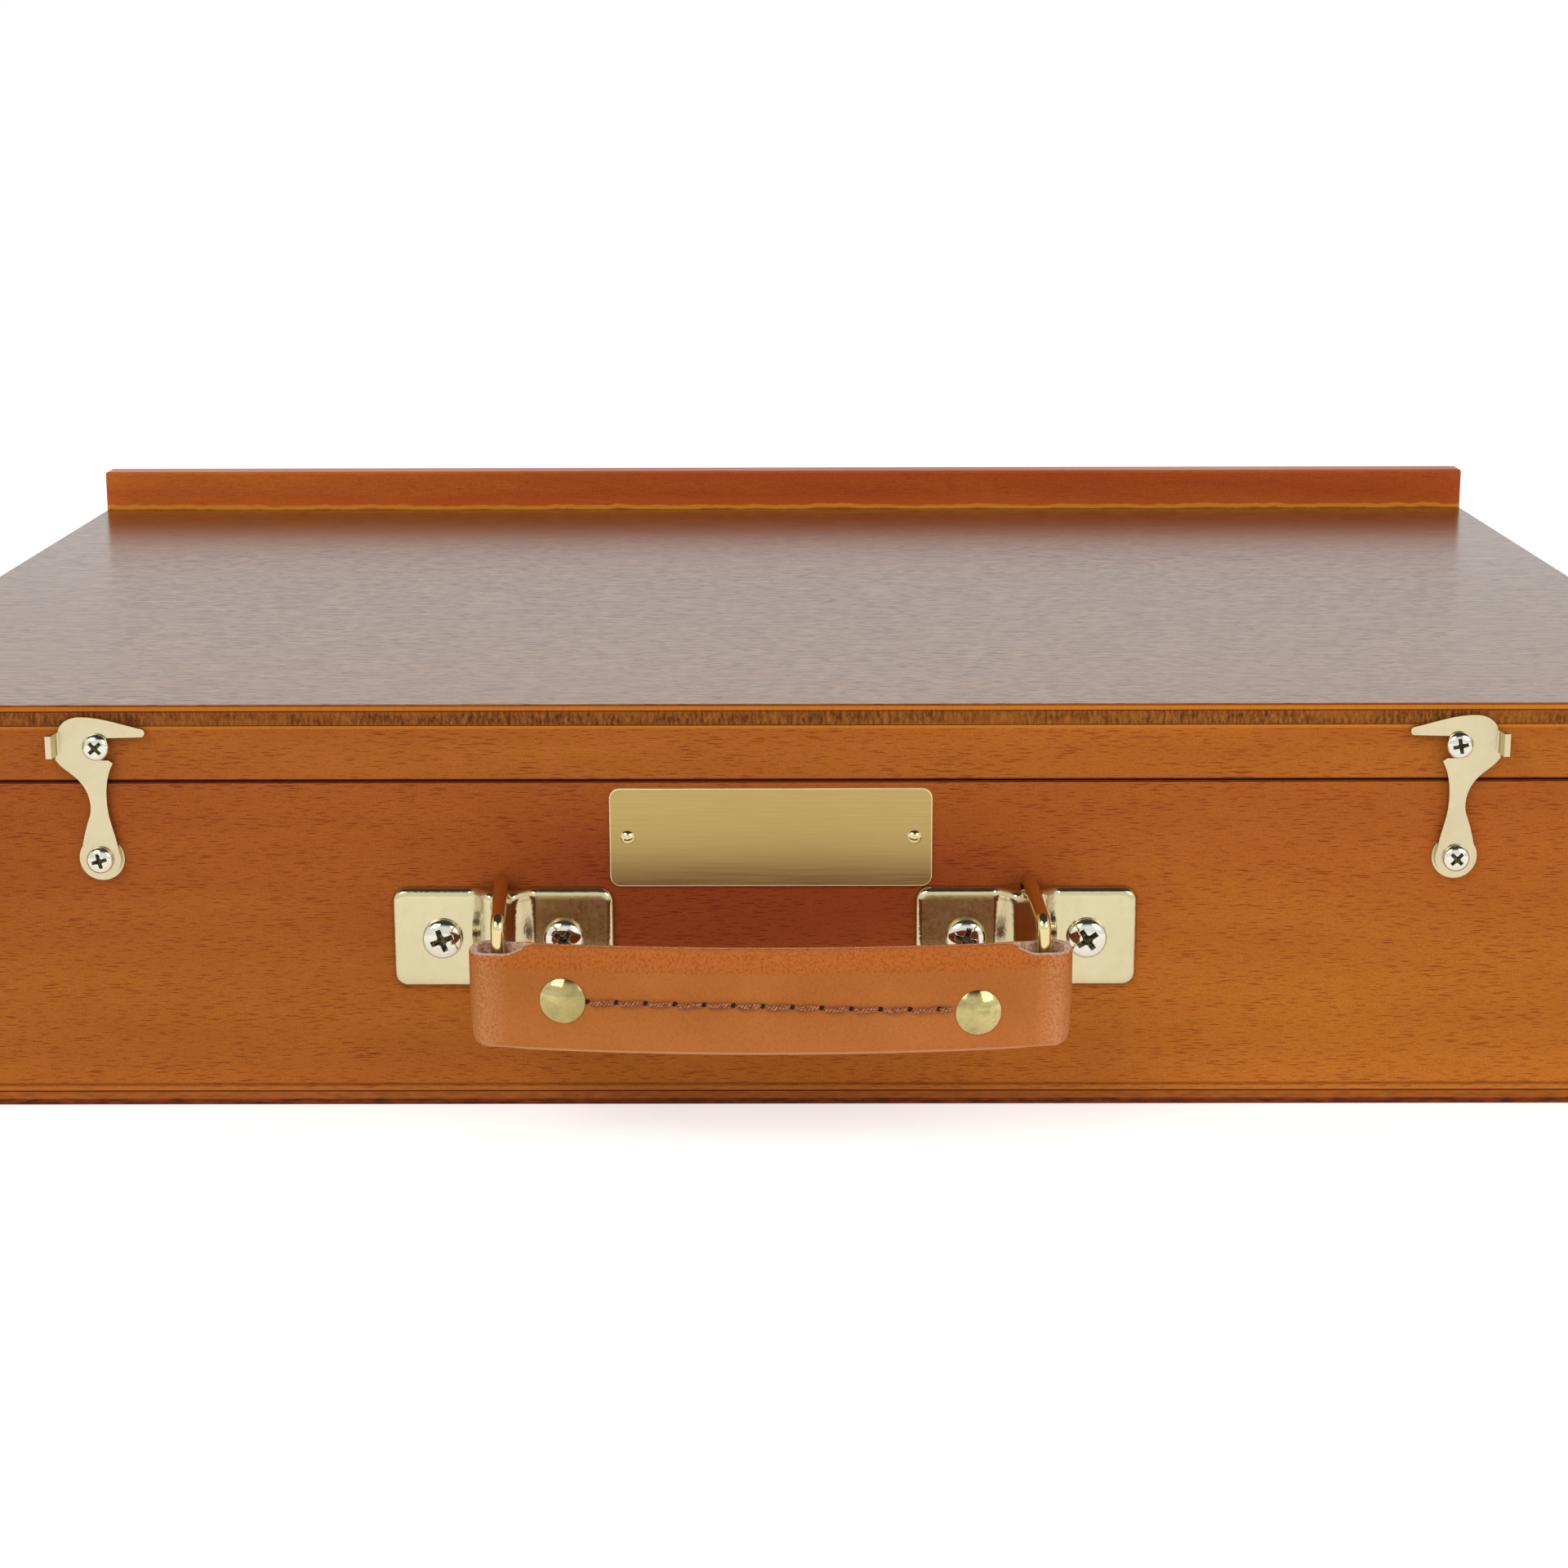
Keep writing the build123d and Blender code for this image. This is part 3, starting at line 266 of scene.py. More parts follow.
def front_stain_and_shade(s, tone):
    """Painted light from left to right and painted shade round the middle fittings; darker and redder along
    the top, lighter towards the foot, an amber band and a dark line at the foot, and painted shade along the
    seam.
    """
    x, _, z = s.axes()
    # Painted light: lighter and yellower from the left end to the right one.
    tone = light_left_to_right(s, tone)
    tone = s.tinted(s.band(z, 20 * MM, 62 * MM, 0.0, 0.75, smooth=True), tone, (0.84, 0.66, 0.86))
    # Painted shade round the middle fittings, its edge made ragged by a noise.
    across = s.calc("DIVIDE", s.calc("SUBTRACT", x, FITTINGS_SHADE_MIDDLE[0]), FITTINGS_SHADE_REACH[0])
    up = s.calc("DIVIDE", s.calc("SUBTRACT", z, FITTINGS_SHADE_MIDDLE[1]), FITTINGS_SHADE_REACH[1])
    away = s.calc("SQRT", s.calc("ADD", s.times(across, across), s.times(up, up)))
    shade_edge_noise = s.noise(s.grain(14, 30, 30))
    reach = s.calc("ADD", away, s.band(shade_edge_noise, 0.3, 0.7, -0.15, 0.15))
    tone = s.tinted(s.band(reach, 0.35, 1.25, 1.0, 0.0, smooth=True), tone, (0.68, 0.46, 0.78))
    tone = s.tinted(s.band(z, 18 * MM, 4 * MM, smooth=True), tone, (1.13, 1.14, 1.24))
    tone = s.mix(s.band(z, 4.2 * MM, 3.5 * MM, 0.0, 0.30), tone, rgb(214, 130, 48))
    line = s.band(s.distance(z, FOOT_LINE), 0.45 * MM, 0.2 * MM, 0.0, 0.6)
    tone = s.tinted(line, tone, (0.35, 0.25, 0.25))
    return seam_shade(s, tone)


def rail_light_and_shade(s, tone):
    # Painted light from left to right, and the painted shade along the seam.
    return seam_shade(s, light_left_to_right(s, tone))


def layered(s, layers, low, height, soft=0.02 * MM):
    """Plywood edge: layers is a list of (top of the layer as a share of the height, colour)."""
    z = s.axes()[2]
    tone = layers[0][1]
    for (top, _), (_, above) in zip(layers[:-1], layers[1:]):
        level = low + top * height
        tone = s.mix(s.band(z, level - soft, level + soft), tone, above)
    return tone


def veneer_panel(name, low, height):
    """The lid: glossy brown veneer on top, layered edges with a sawn cross-grain core."""
    s = Shader(name, Specular_Tint=(0.55, 0.30, 0.12, 1))
    broad = s.noise(s.flow("X", 130, 22), detail=5, roughness=0.6, distortion=0.5)
    streaks = s.noise(s.flow("X", 16, 1.2), detail=6, roughness=0.75)
    hairs = s.noise(s.flow("X", 5, 0.7, 3.0), detail=4, roughness=0.8)
    pores = s.dashes("X", 6.0, 1.1, 0.25, broad, 1.0)
    dark, mid, light = rgb(98, 60, 36), rgb(142, 95, 52), rgb(153, 108, 62)
    top = s.mix(s.band(broad, 0.32, 0.70), mid, light)
    top = s.mix(s.band(streaks, 0.36, 0.60, 0.9, 0.0), top, dark)
    top = s.tinted(s.band(hairs, 0.36, 0.58, 0.8, 0.0), top, (0.52, 0.45, 0.4))
    top = s.tinted(s.times(pores, 0.8), top, (0.34, 0.28, 0.26))
    depth = s.axes()[1]
    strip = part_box("canvas_ledge")[0].y
    # Painted shade and reflection of the strip: darker and redder towards it.
    top = s.tinted(s.band(depth, strip - 60 * MM, strip + 2 * MM, smooth=True), top, (0.86, 0.66, 0.55))
    # Painted reflection of the pale surround: lighter and bluer towards the front.
    top = s.tinted(s.band(depth, -20 * MM, -140 * MM, smooth=True), top, (1.26, 1.28, 1.34))
    amber, core_dark = rgb(194, 114, 36), rgb(88, 38, 14)
    saw = s.noise(s.grain(1300, 1300, 420), roughness=0.7)
    mottled = s.noise(s.grain(55, 55, 240), detail=4)
    core = s.mix(s.band(saw, 0.38, 0.66), rgb(86, 40, 20), rgb(158, 94, 42))
    core = s.mix(s.band(mottled, 0.46, 0.68, 0.0, 0.6), core, rgb(160, 92, 36))
    layers = [(0.12, amber), (0.16, core_dark), (0.70, core), (0.75, core_dark), (0.92, amber)]
    edge = layered(s, layers + [(1.0, rgb(146, 62, 12))], low, height)
    # The edge gets the painted light from left to right as well.
    edge = light_left_to_right(s, s.tinted(s.band(saw, 0.35, 0.6, 0.25, 0.0), edge, (0.6, 0.5, 0.4)))
    tone = s.mix(s.band(s.calc("ABSOLUTE", s.axes("Normal")[2]), 0.55, 0.75), edge, top)
    grain = s.calc("ADD", streaks, s.times(hairs, 0.5))
    height_map = s.calc("SUBTRACT", grain, s.times(pores, 0.6))
    shine = s.calc("ADD", s.band(streaks, 0.36, 0.60, 0.26, 0.38), s.band(hairs, 0.36, 0.60, 0.0, 0.12))
    return s.wear(
        Base_Color=tone,
        Roughness=s.band(streaks, 0.3, 0.7, 0.24, 0.16),
        Specular_IOR_Level=s.calc("SUBTRACT", shine, s.times(pores, 0.16)),
        Normal=s.bump(height_map, 0.03 * MM, 0.6),
    )


def bottom_ply(name, low, height):
    """The bottom panel: two visible layers at its edges, plain ply below."""
    s = Shader(name, Specular_IOR_Level=0.15)
    streak = s.noise(s.grain(260, 260, 1300), detail=4)
    light = s.mix(s.band(streak, 0.35, 0.65), rgb(178, 100, 34), rgb(152, 80, 26))
    dark = s.mix(s.band(streak, 0.35, 0.65), rgb(134, 60, 22), rgb(74, 28, 10))
    edge = layered(s, [(0.42, dark), (0.90, light), (1.0, rgb(84, 36, 14))], low, height)
    figure = s.noise(s.flow("X", 60, 8), detail=5, distortion=0.4)
    under = s.mix(s.band(figure, 0.3, 0.7), rgb(168, 104, 56), rgb(196, 136, 82))
    tone = s.mix(s.band(s.calc("ABSOLUTE", s.axes("Normal")[2]), 0.55, 0.75), edge, under)
    return s.wear(
        Base_Color=tone,
        Roughness=s.band(streak, 0.3, 0.7, 0.38, 0.5),
        Normal=s.bump(streak, 0.02 * MM, 0.4),
    )


def ledge_finish(s, tone):
    """Lighter and yellower towards the left end, amber near the foot where the strip meets the lid, and a
    bright amber line, wavy along the joint.
    """
    x, _, z = s.axes()
    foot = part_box("canvas_ledge")[0].z
    tone = s.tinted(s.band(x, -20 * MM, -170 * MM, smooth=True), tone, (1.16, 1.45, 1.2))
    wave = s.noise(s.grain(75), detail=4, roughness=0.6)
    level = s.calc("SUBTRACT", z, s.band(wave, 0.3, 0.7, 0.0, 1.2 * MM))
    glow = s.band(level, foot + 0.6 * MM, foot + 4.0 * MM, 0.45, 0.0, smooth=True)
    tone = s.mix(glow, tone, rgb(196, 104, 30))
    line = s.band(s.distance(level, foot), 0.35 * MM, 0.75 * MM, 0.85, 0.0, smooth=True)
    return s.mix(line, tone, rgb(222, 146, 48))


# ---------------------------------------------------------------- metal and leather
def plated(name, tone, rough=0.16, swirl=0.02, mottle=0.35, peel=0.05, deep=0.78, grip_shaded=None):
    """Bright plating with waviness, orange peel and handling marks.

    The last argument gives (middle, half width) of a stretch of x where flat faces are rougher and darker
    gold, a painted shade and reflection of the grip."""
    s = Shader(name, Metallic=1.0)
    cloud = s.noise(s.grain(90), detail=4)
    speck = s.noise(s.grain(1100))
    smear = s.noise(s.grain(300, 300, 40))
    worn = s.noise(s.grain(420), detail=4, roughness=0.7)
    shade = scaled(tone, deep, deep * 0.97, deep * 0.80)
    base = s.mix(s.band(cloud, 0.35, 0.7, 0.0, mottle), tone, shade)
    base = s.mix(s.band(worn, 0.48, 0.68, 0.0, mottle), base, shade)
    smeared = s.band(smear, 0.5, 0.8, 0.0, 0.06)
    roughness = s.calc("ADD", s.band(cloud, 0.3, 0.7, rough * 0.7, rough * 1.4), smeared)
    if grip_shaded:
        off = s.distance(s.axes()[0], grip_shaded[0])
        outward = s.axes("Normal")[1]
        inside = s.band(off, grip_shaded[1] + 0.5 * MM, grip_shaded[1] - 0.5 * MM)
        flat = s.times(inside, s.band(outward, -0.97, -0.99))
        roughness = s.calc("ADD", roughness, s.times(flat, s.band(speck, 0.35, 0.62, 0.13, 0.18)))
        # Painted shade and reflection of the grip: darker gold on these flat faces.
        base = s.tinted(flat, base, (0.92, 0.80, 0.56))
    height = s.calc("ADD", cloud, s.times(speck, peel))
    return s.wear(Base_Color=base, Roughness=roughness, Normal=s.bump(height, swirl * MM, 0.5))


def brushed(name, tone, rough):
    """Metal with fine brushing along X."""
    s = Shader(name, Metallic=1.0, Anisotropic=0.4)
    lines = s.noise(s.grain(45, 2600, 2600), detail=4, roughness=0.75)
    cloud = s.noise(s.grain(40))
    base = s.mix(s.band(lines, 0.35, 0.62, 0.5, 0.0), tone, scaled(tone, 0.72, 0.68, 0.5))
    base = s.mix(s.band(cloud, 0.35, 0.7, 0.0, 0.35), base, scaled(tone, 0.84, 0.80, 0.60))
    return s.wear(
        Base_Color=base,
        Roughness=s.band(lines, 0.3, 0.7, rough * 0.8, rough * 1.3),
        Normal=s.bump(lines, 0.008 * MM, 0.7),
    )


def leather_grain(name, low_z, high_z):
    """Smooth tan leather: fine pebbled grain, stronger and more orange along its rolled upper edge."""
    s = Shader(name, Specular_IOR_Level=0.12, Specular_Tint=(0.9, 0.65, 0.4, 1))
    x, _, z = s.axes()
    pebble = s.cells(s.grain(1500))
    crease = s.noise(s.grain(1900), detail=4, roughness=0.65)
    cloud = s.noise(s.grain(60), detail=4)
    tone = s.mix(s.band(cloud, 0.35, 0.7), rgb(175, 104, 47), rgb(186, 112, 52))
    top_band = s.band(z, high_z - 5.0 * MM, high_z - 4.2 * MM, 0.0, 1.0, smooth=True)
    tone = s.mix(s.times(top_band, 0.55), tone, rgb(192, 104, 44))
    spots = s.times(s.band(crease, 0.52, 0.40), s.band(top_band, 0.0, 1.0, 0.30, 0.85))
    tone = s.tinted(spots, tone, (0.72, 0.60, 0.5))
    # Painted highlight: a pale speckled upright band where the strap turns into each loop.
    turned = s.distance(x, STRAP_X)
    loop_highlight_band = s.times(s.band(turned, 51.5 * MM, 55.5 * MM), s.band(turned, 59.2 * MM, 56.8 * MM))
    pale_highlight = s.times(loop_highlight_band, s.band(crease, 0.38, 0.60, 0.10, 0.62))
    tone = s.mix(pale_highlight, tone, rgb(206, 144, 96))
    # Painted light: lighter to the right and towards the foot of the strap.
    tone = s.tinted(s.band(x, -60 * MM, 55 * MM), tone, (1.12, 1.10, 1.16))
    tone = s.tinted(s.band(z, high_z - 7 * MM, low_z, smooth=True), tone, (1.09, 1.11, 1.26))
    foot = s.band(z, low_z + 0.25 * MM, low_z + 0.75 * MM, 0.85, 0.0, smooth=True)
    tone = s.mix(foot, tone, rgb(218, 158, 110))
    height = s.calc("ADD", s.times(pebble, 0.7), crease)
    strength = s.times(height, s.band(top_band, 0.0, 1.0, 0.55, 1.3))
    return s.wear(
        Base_Color=tone,
        Roughness=s.band(crease, 0.3, 0.7, 0.40, 0.55),
        Normal=s.bump(strength, 0.07 * MM, 0.8),
    )


def suede(name, tone, lint):
    """Napped inner side or cut edge of leather."""
    s = Shader(name, Roughness=0.85, Sheen_Weight=0.35, Sheen_Roughness=0.5)
    fuzz = s.noise(s.grain(1800), detail=4, roughness=0.7)
    base = s.mix(s.band(fuzz, 0.35, 0.65), tone, lint)
    return s.wear(Base_Color=base, Normal=s.bump(fuzz, 0.12 * MM, 0.8))


def thread_finish(name):
    """Waxed reddish-brown thread with fine fibres."""
    s = Shader(name, Roughness=0.45, Specular_IOR_Level=0.4)
    fibre = s.noise(s.grain(900, 4200, 4200))
    base = s.mix(s.band(fibre, 0.35, 0.62), rgb(88, 36, 20), rgb(206, 136, 98))
    return s.wear(Base_Color=base, Normal=s.bump(fibre, 0.05 * MM, 0.8))


def hollow(name, tone, light):
    """Painted shade for the inside of a recess or sewn hole: a dark colour, flecked lighter by a noise."""
    s = Shader(name, Roughness=0.55, Specular_IOR_Level=0.2)
    flecking = s.noise(s.grain(1500))
    base = s.mix(s.band(flecking, 0.4, 0.65), tone, light)
    return s.wear(Base_Color=base, Normal=s.bump(flecking, 0.03 * MM, 0.6))


# ---------------------------------------------------------------- building pieces
def mesh_of(work, name, outward=True):
    """The mesh of a bmesh that is done with, its faces turned outward where asked."""
    if outward:
        bmesh.ops.recalc_face_normals(work, faces=work.faces)
    mesh = bpy.data.meshes.new(name)
    work.to_mesh(mesh)
    work.free()
    return mesh


def piece_from(name, mesh, body, materials, slot_name, *replaced):
    """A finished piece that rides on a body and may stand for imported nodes."""
    piece = new_object(name, mesh)
    for material in materials:
        mesh.materials.append(material)
    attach(piece, body)
    if replaced:
        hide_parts(*replaced)
    return piece


def applied(source, *modifiers):
    """The mesh of an object after modifiers, each given as (type, {setting: value})."""
    work = new_object("work", source)
    for kind, settings in modifiers:
        modifier = work.modifiers.new(kind.lower(), kind)
        for key, value in settings.items():
            setattr(modifier, key, value)
    graph = bpy.context.evaluated_depsgraph_get()
    result = bpy.data.meshes.new_from_object(work.evaluated_get(graph), depsgraph=graph)
    bpy.data.objects.remove(work)
    return result


def bevel(width, segments, angle):
    """A bevel on the edges that turn by more than an angle in degrees."""
    limit = {"limit_method": "ANGLE", "angle_limit": math.radians(angle)}
    return "BEVEL", {"width": width, "segments": segments, **limit}


def softened(node, body, material, slot_name, width, segments):
    """A copy of a packed metal piece with its sharp edges rounded, which stands for the node."""
    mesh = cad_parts[node].data.copy()
    mesh.materials.clear()
    work = bmesh.new()
    work.from_mesh(mesh)
    bmesh.ops.remove_doubles(work, verts=work.verts, dist=0.002 * MM)
    bmesh.ops.dissolve_limit(work, angle_limit=math.radians(0.5), verts=work.verts, edges=work.edges)
    for face in work.faces:
        face.smooth = True
    work.to_mesh(mesh)
    work.free()
    even = ("WEIGHTED_NORMAL", {"mode": "FACE_AREA_WITH_ANGLE", "weight": 80, "keep_sharp": True})
    mesh = applied(mesh, bevel(width, segments, 40), even)
    return piece_from(f"{node}_soft", mesh, body, [material], slot_name, node)


def shade_smooth(mesh, angle):
    """Smooth shading, kept sharp over the given angle in degrees."""
    mesh.polygons.foreach_set("use_smooth", [True] * len(mesh.polygons))
    work = bmesh.new()
    work.from_mesh(mesh)
    for edge in work.edges:
        edge.smooth = len(edge.link_faces) == 2 and edge.calc_face_angle(0) < math.radians(angle)
    work.to_mesh(mesh)
    work.free()


def lathe(work, profile, steps, place, unit=1.0):
    """Turns a profile of (radius, height) points about Z and moves it by a matrix."""
    rings = []
    for radius, height in profile:
        radius, height = radius * unit, height * unit
        angles = [TURN * i / steps for i in range(steps if radius > 1e-9 else 1)]
        spots = [Vector((radius * math.cos(angle), radius * math.sin(angle), height)) for angle in angles]
        rings.append([work.verts.new(place @ spot) for spot in spots])
    for lower, upper in zip(rings, rings[1:]):
        for i in range(steps):
            j = (i + 1) % steps
            near = (lower[i % len(lower)], lower[j % len(lower)])
            far = (upper[j % len(upper)], upper[i % len(upper)])
            unique = list(dict.fromkeys(near + far))
            if len(unique) > 2:
                work.faces.new(unique)


def dome_profile(radius, height, rim):
    """A domed head from its foot to its crown: a short upright rim and a rounded top."""
    points = [(radius * 0.96, 0.0), (radius, rim * 0.4)]
    for i in range(10):
        angle = math.radians(90) * i / 9
        points.append((radius * math.cos(angle) ** 0.85, rim + (height - rim) * math.sin(angle)))
    points[-1] = (0.0, height)
    return points


def facing(point, outward, spin=0.0):
    """A matrix that stands a Z-up piece on a point, along a direction."""
    turn = outward.to_track_quat("Z", "Y").to_matrix().to_4x4()
    return Matrix.Translation(point) @ turn @ Matrix.Rotation(spin, 4, "Z")


def cross_head_mesh(radius, height, shank):
    """One pan-head screw with a cross recess, its underside at the origin and its head along +Z."""
    work = bmesh.new()
    crown = dome_profile(radius, height, height * 0.28)
    stem = radius * 0.42
    lathe(work, [(0.0, -shank), (stem, -shank), (stem, 0.0)] + crown, 48, Matrix.Identity(4))
    head = mesh_of(work, "head")

    work = bmesh.new()
    arm, half = radius * 0.63, radius * 0.125
    deep, over = height * 0.22, height * 1.3
    for quarter in (0, 1):
        turn = Matrix.Rotation(TURN / 4 * quarter, 4, "Z")
        corners = []
        for level, reach, width in ((deep, arm * 0.5, half * 0.8), (over, arm * 1.18, half * 1.25)):
            for sx, sy in ((-1, -1), (1, -1), (1, 1), (-1, 1)):
                corners.append(work.verts.new(turn @ Vector((sx * reach, sy * width, level))))
        for ring in ((3, 2, 1, 0), (4, 5, 6, 7), (0, 1, 5, 4), (1, 2, 6, 5), (2, 3, 7, 6), (3, 0, 4, 7)):
            work.faces.new([corners[i] for i in ring])
    lathe(work, [(0.0, deep), (half * 1.35, deep), (half * 2.3, over), (0.0, over)], 16, Matrix.Identity(4))
    cutter = new_object("cutter", mesh_of(work, "cutter"))
    cut = applied(
        head,
        ("BOOLEAN", {"operation": "DIFFERENCE", "object": cutter, "solver": "EXACT", "use_self": True}),
        bevel(radius * 0.035, 2, 38),
    )
    bpy.data.objects.remove(cutter)
    shade_smooth(cut, 50)
    # Faces deep in the cross recess take the second material, the painted recess shade.
    for face in cut.polygons:
        away = math.hypot(face.center.x, face.center.y)
        surface = max(level for reach, level in crown if reach >= min(away, crown[1][0] * 0.999))
        if away < arm * 1.1 and 0 < face.center.z < surface - height * 0.10:
            face.material_index = 1
    return cut


def screw_set(node, body, material, radius, height, shank, outward, spins):
    """Cross-head screws in place of the plain ones of a node, one at each solid of that node."""
    work = bmesh.new()
    work.from_mesh(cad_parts[node].data)
    bmesh.ops.remove_doubles(work, verts=work.verts, dist=0.002 * MM)
    seats, seen = [], set()
    for start in work.verts:
        if start in seen:
            continue
        island, todo = [], [start]
        seen.add(start)
        while todo:
            vert = todo.pop()
            island.append(vert.co)
            for edge in vert.link_edges:
                other = edge.other_vert(vert)
                if other not in seen:
                    seen.add(other)
                    todo.append(other)
        low, high = (Vector([ends(c[k] for c in island) for k in range(3)]) for ends in (min, max))
        seats.append((low, high))
    work.free()
    seats.sort(key=lambda seat: [round(value, 4) for value in seat[0]])
    one = cross_head_mesh(radius, height, shank)
    joined = bmesh.new()
    for number, (low, high) in enumerate(seats):
        centre = (low + high) / 2
        out = outward(centre) if callable(outward) else outward
        tip = max(low.dot(out), high.dot(out))
        foot = centre + out * (tip - centre.dot(out) - height)
        copy = one.copy()
        copy.transform(facing(foot, out, spins[number % len(spins)]))
        joined.from_mesh(copy)
        bpy.data.meshes.remove(copy)
    mesh = mesh_of(joined, f"{node}_cross", outward=False)
    return piece_from(f"{node}_cross", mesh, body, [material, recess_shade], "screw_steel", node)


# ---------------------------------------------------------------- camera, floor and light
def add_camera():
    """The photo's camera, as fitted to the edges of the case: focal length in pixels, angles in radians."""
    focal_px, image_px, sensor = 3705.4, 1920, 36.0
    pitch, yaw, roll = 0.226336, 0.004152, -0.002605
    eye = Vector((0.003837, -0.749368, 0.206468))
    data = bpy.data.cameras.new("camera")
    data.sensor_fit = "HORIZONTAL"
    data.sensor_width = sensor
    data.lens = focal_px / image_px * sensor
    data.clip_start = 0.01
    turns = ((yaw, "Z"), (math.radians(90) - pitch, "X"), (roll, "Z"))
    first, second, third = (Matrix.Rotation(angle, 4, axis) for angle, axis in turns)
    camera = new_object("camera", data)
    camera.matrix_world = Matrix.Translation(eye) @ first @ second @ third
    bpy.context.scene.camera = camera


SKY_TONE, SKY_STRENGTH = (1.0, 0.985, 0.965, 1), 0.62
WHITE_BELOW, DIM_ABOVE, DIM_TONE = 0.46, 0.72, (0.05, 0.05, 0.05, 1)
FLOOR_HALF, FLOOR_TONE, FLOOR_GLOW = 6.0, (0.86, 0.86, 0.86, 1), 0.5
LAMP_TONE, LAMP_AIM = (1.0, 0.975, 0.94), Vector((0, 0, 0.03))


def add_world():
    """A soft surround, and for the camera and reflections a white one that is dim overhead."""
    world = bpy.data.worlds.new("studio")
    bpy.context.scene.world = world
    world.use_nodes = True
    world.node_tree.nodes.clear()
    sky = Tree(world.node_tree)
    soft = sky.add("ShaderNodeBackground")
    sky.feed(soft.inputs["Color"], SKY_TONE)
    sky.feed(soft.inputs["Strength"], SKY_STRENGTH)
    clear = sky.add("ShaderNodeBackground")
    up = sky.axes("Generated")[2]
    overhead = sky.band(up, WHITE_BELOW, DIM_ABOVE, smooth=True)
    sky.feed(clear.inputs["Color"], sky.mix(overhead, WHITE, DIM_TONE))
    path = sky.add("ShaderNodeLightPath")
    seen = sky.calc("MAXIMUM", path.outputs["Is Camera Ray"], path.outputs["Is Glossy Ray"])
    seen = sky.calc("MAXIMUM", seen, path.outputs["Is Transmission Ray"])
    either = sky.add("ShaderNodeMixShader")
    for socket, value in zip(either.inputs, (seen, soft.outputs["Background"], clear.outputs["Background"])):
        sky.feed(socket, value)
    out = sky.add("ShaderNodeOutputWorld")
    sky.feed(out.inputs["Surface"], either.outputs["Shader"])


def add_floor():
    """A plain pale floor, lit up a little for the camera and for reflections."""
    work = bmesh.new()
    bmesh.ops.create_grid(work, x_segments=1, y_segments=1, size=FLOOR_HALF)
    mesh = mesh_of(work, "floor", outward=False)
    plain = {"Roughness": 0.9, "Specular_IOR_Level": 0.0}
    s = Shader("floor_white", Base_Color=FLOOR_TONE, Emission_Color=WHITE, **plain)
    path = s.add("ShaderNodeLightPath")
    seen = s.calc("MAXIMUM", path.outputs["Is Camera Ray"], path.outputs["Is Glossy Ray"])
    mesh.materials.append(s.wear(Emission_Strength=s.times(seen, FLOOR_GLOW)))
    new_object("floor", mesh)


def add_lamp(name, place, size, power):
    """A soft area lamp turned to the middle of the front."""
    data = bpy.data.lights.new(name, "AREA")
    data.shape = "RECTANGLE"
    data.size, data.size_y = size
    data.energy = power
    data.color = LAMP_TONE
    lamp = new_object(name, data)
    lamp.matrix_world = facing(Vector(place), Vector(place) - LAMP_AIM)


add_camera()
add_world()
add_floor()
add_lamp("key", (-0.9, -1.3, 1.2), (1.0, 0.8), 9)
add_lamp("fill", (1.1, -1.2, 0.9), (0.9, 0.9), 5)

# ---------------------------------------------------------------- finishes
# Deep, middle and light tone of each wood.
warm = rgb(150, 80, 30), rgb(183, 103, 40), rgb(193, 115, 44)
front_rail = rgb(150, 78, 31), rgb(175, 95, 38), rgb(188, 109, 44)
reddish = rgb(162, 62, 34), rgb(188, 84, 42), rgb(202, 104, 46)
bare = rgb(178, 130, 82), rgb(202, 156, 106), rgb(216, 174, 126)
oiled = rgb(150, 92, 50), rgb(176, 116, 68), rgb(192, 134, 84)

wall_wood = beech("beech_front", "X", *warm, front_stain_and_shade)
back_wood = beech("beech_back", "X", *warm)
side_wood = beech("beech_side", "Y", *warm)
rail_wood = beech("beech_rail", "X", *front_rail, rail_light_and_shade)
ledge_wood = beech("beech_ledge", "X", *reddish, ledge_finish, fleck=0.25, rough=0.30)
bare_ends = rgb(160, 112, 70)
divider_x = beech("inner_x", "X", *bare, ends=bare_ends, fleck=0.4, rough=0.5, shine=0.3)
divider_y = beech("inner_y", "Y", *bare, ends=bare_ends, fleck=0.4, rough=0.5, shine=0.3)
palette_wood = beech("palette_wood", "X", *oiled, ends=rgb(120, 72, 40), fleck=0.45, shine=0.3)
lid_veneer = veneer_panel("lid_veneer", *level_and_height("lid_panel"))
bottom_finish = bottom_ply("bottom_ply", *level_and_height("bottom_panel"))

handle_middle = (middle("ring_left").x + middle("ring_right").x) / 2
pale_brass = plated("pale_brass", rgb(206, 196, 159), 0.13, 0.06, 0.20, 1.1, grip_shaded=(handle_middle, 48 * MM))
latch_brass = plated("latch_brass", rgb(204, 192, 158), 0.20, 0.03, 0.20, 0.5)
bright_brass = plated("bright_brass", rgb(222, 206, 152), 0.10)
rivet_brass = plated("rivet_brass", rgb(212, 196, 138), 0.12, 0.16, 0.9, 0.10, 0.52)
label_brass = brushed("label_brass", rgb(184, 160, 104), 0.34)
# A brighter copy of the label metal for its rounded rim: a painted highlight.
label_rim_highlight = brushed("label_rim_highlight", rgb(246, 232, 184), 0.5)
screw_bright = plated("screw_bright", rgb(222, 220, 208), 0.08)
# Painted shade for the inside of screw recesses and for the floors of sewn holes.
recess_shade = hollow("recess_shade", rgb(34, 27, 16), rgb(142, 132, 100))
hole_shade = hollow("hole_shade", rgb(22, 9, 6), rgb(58, 26, 16))
hinge_brass = brushed("hinge_brass", rgb(206, 186, 130), 0.26)
stay_steel = brushed("stay_steel", rgb(196, 194, 188), 0.28)

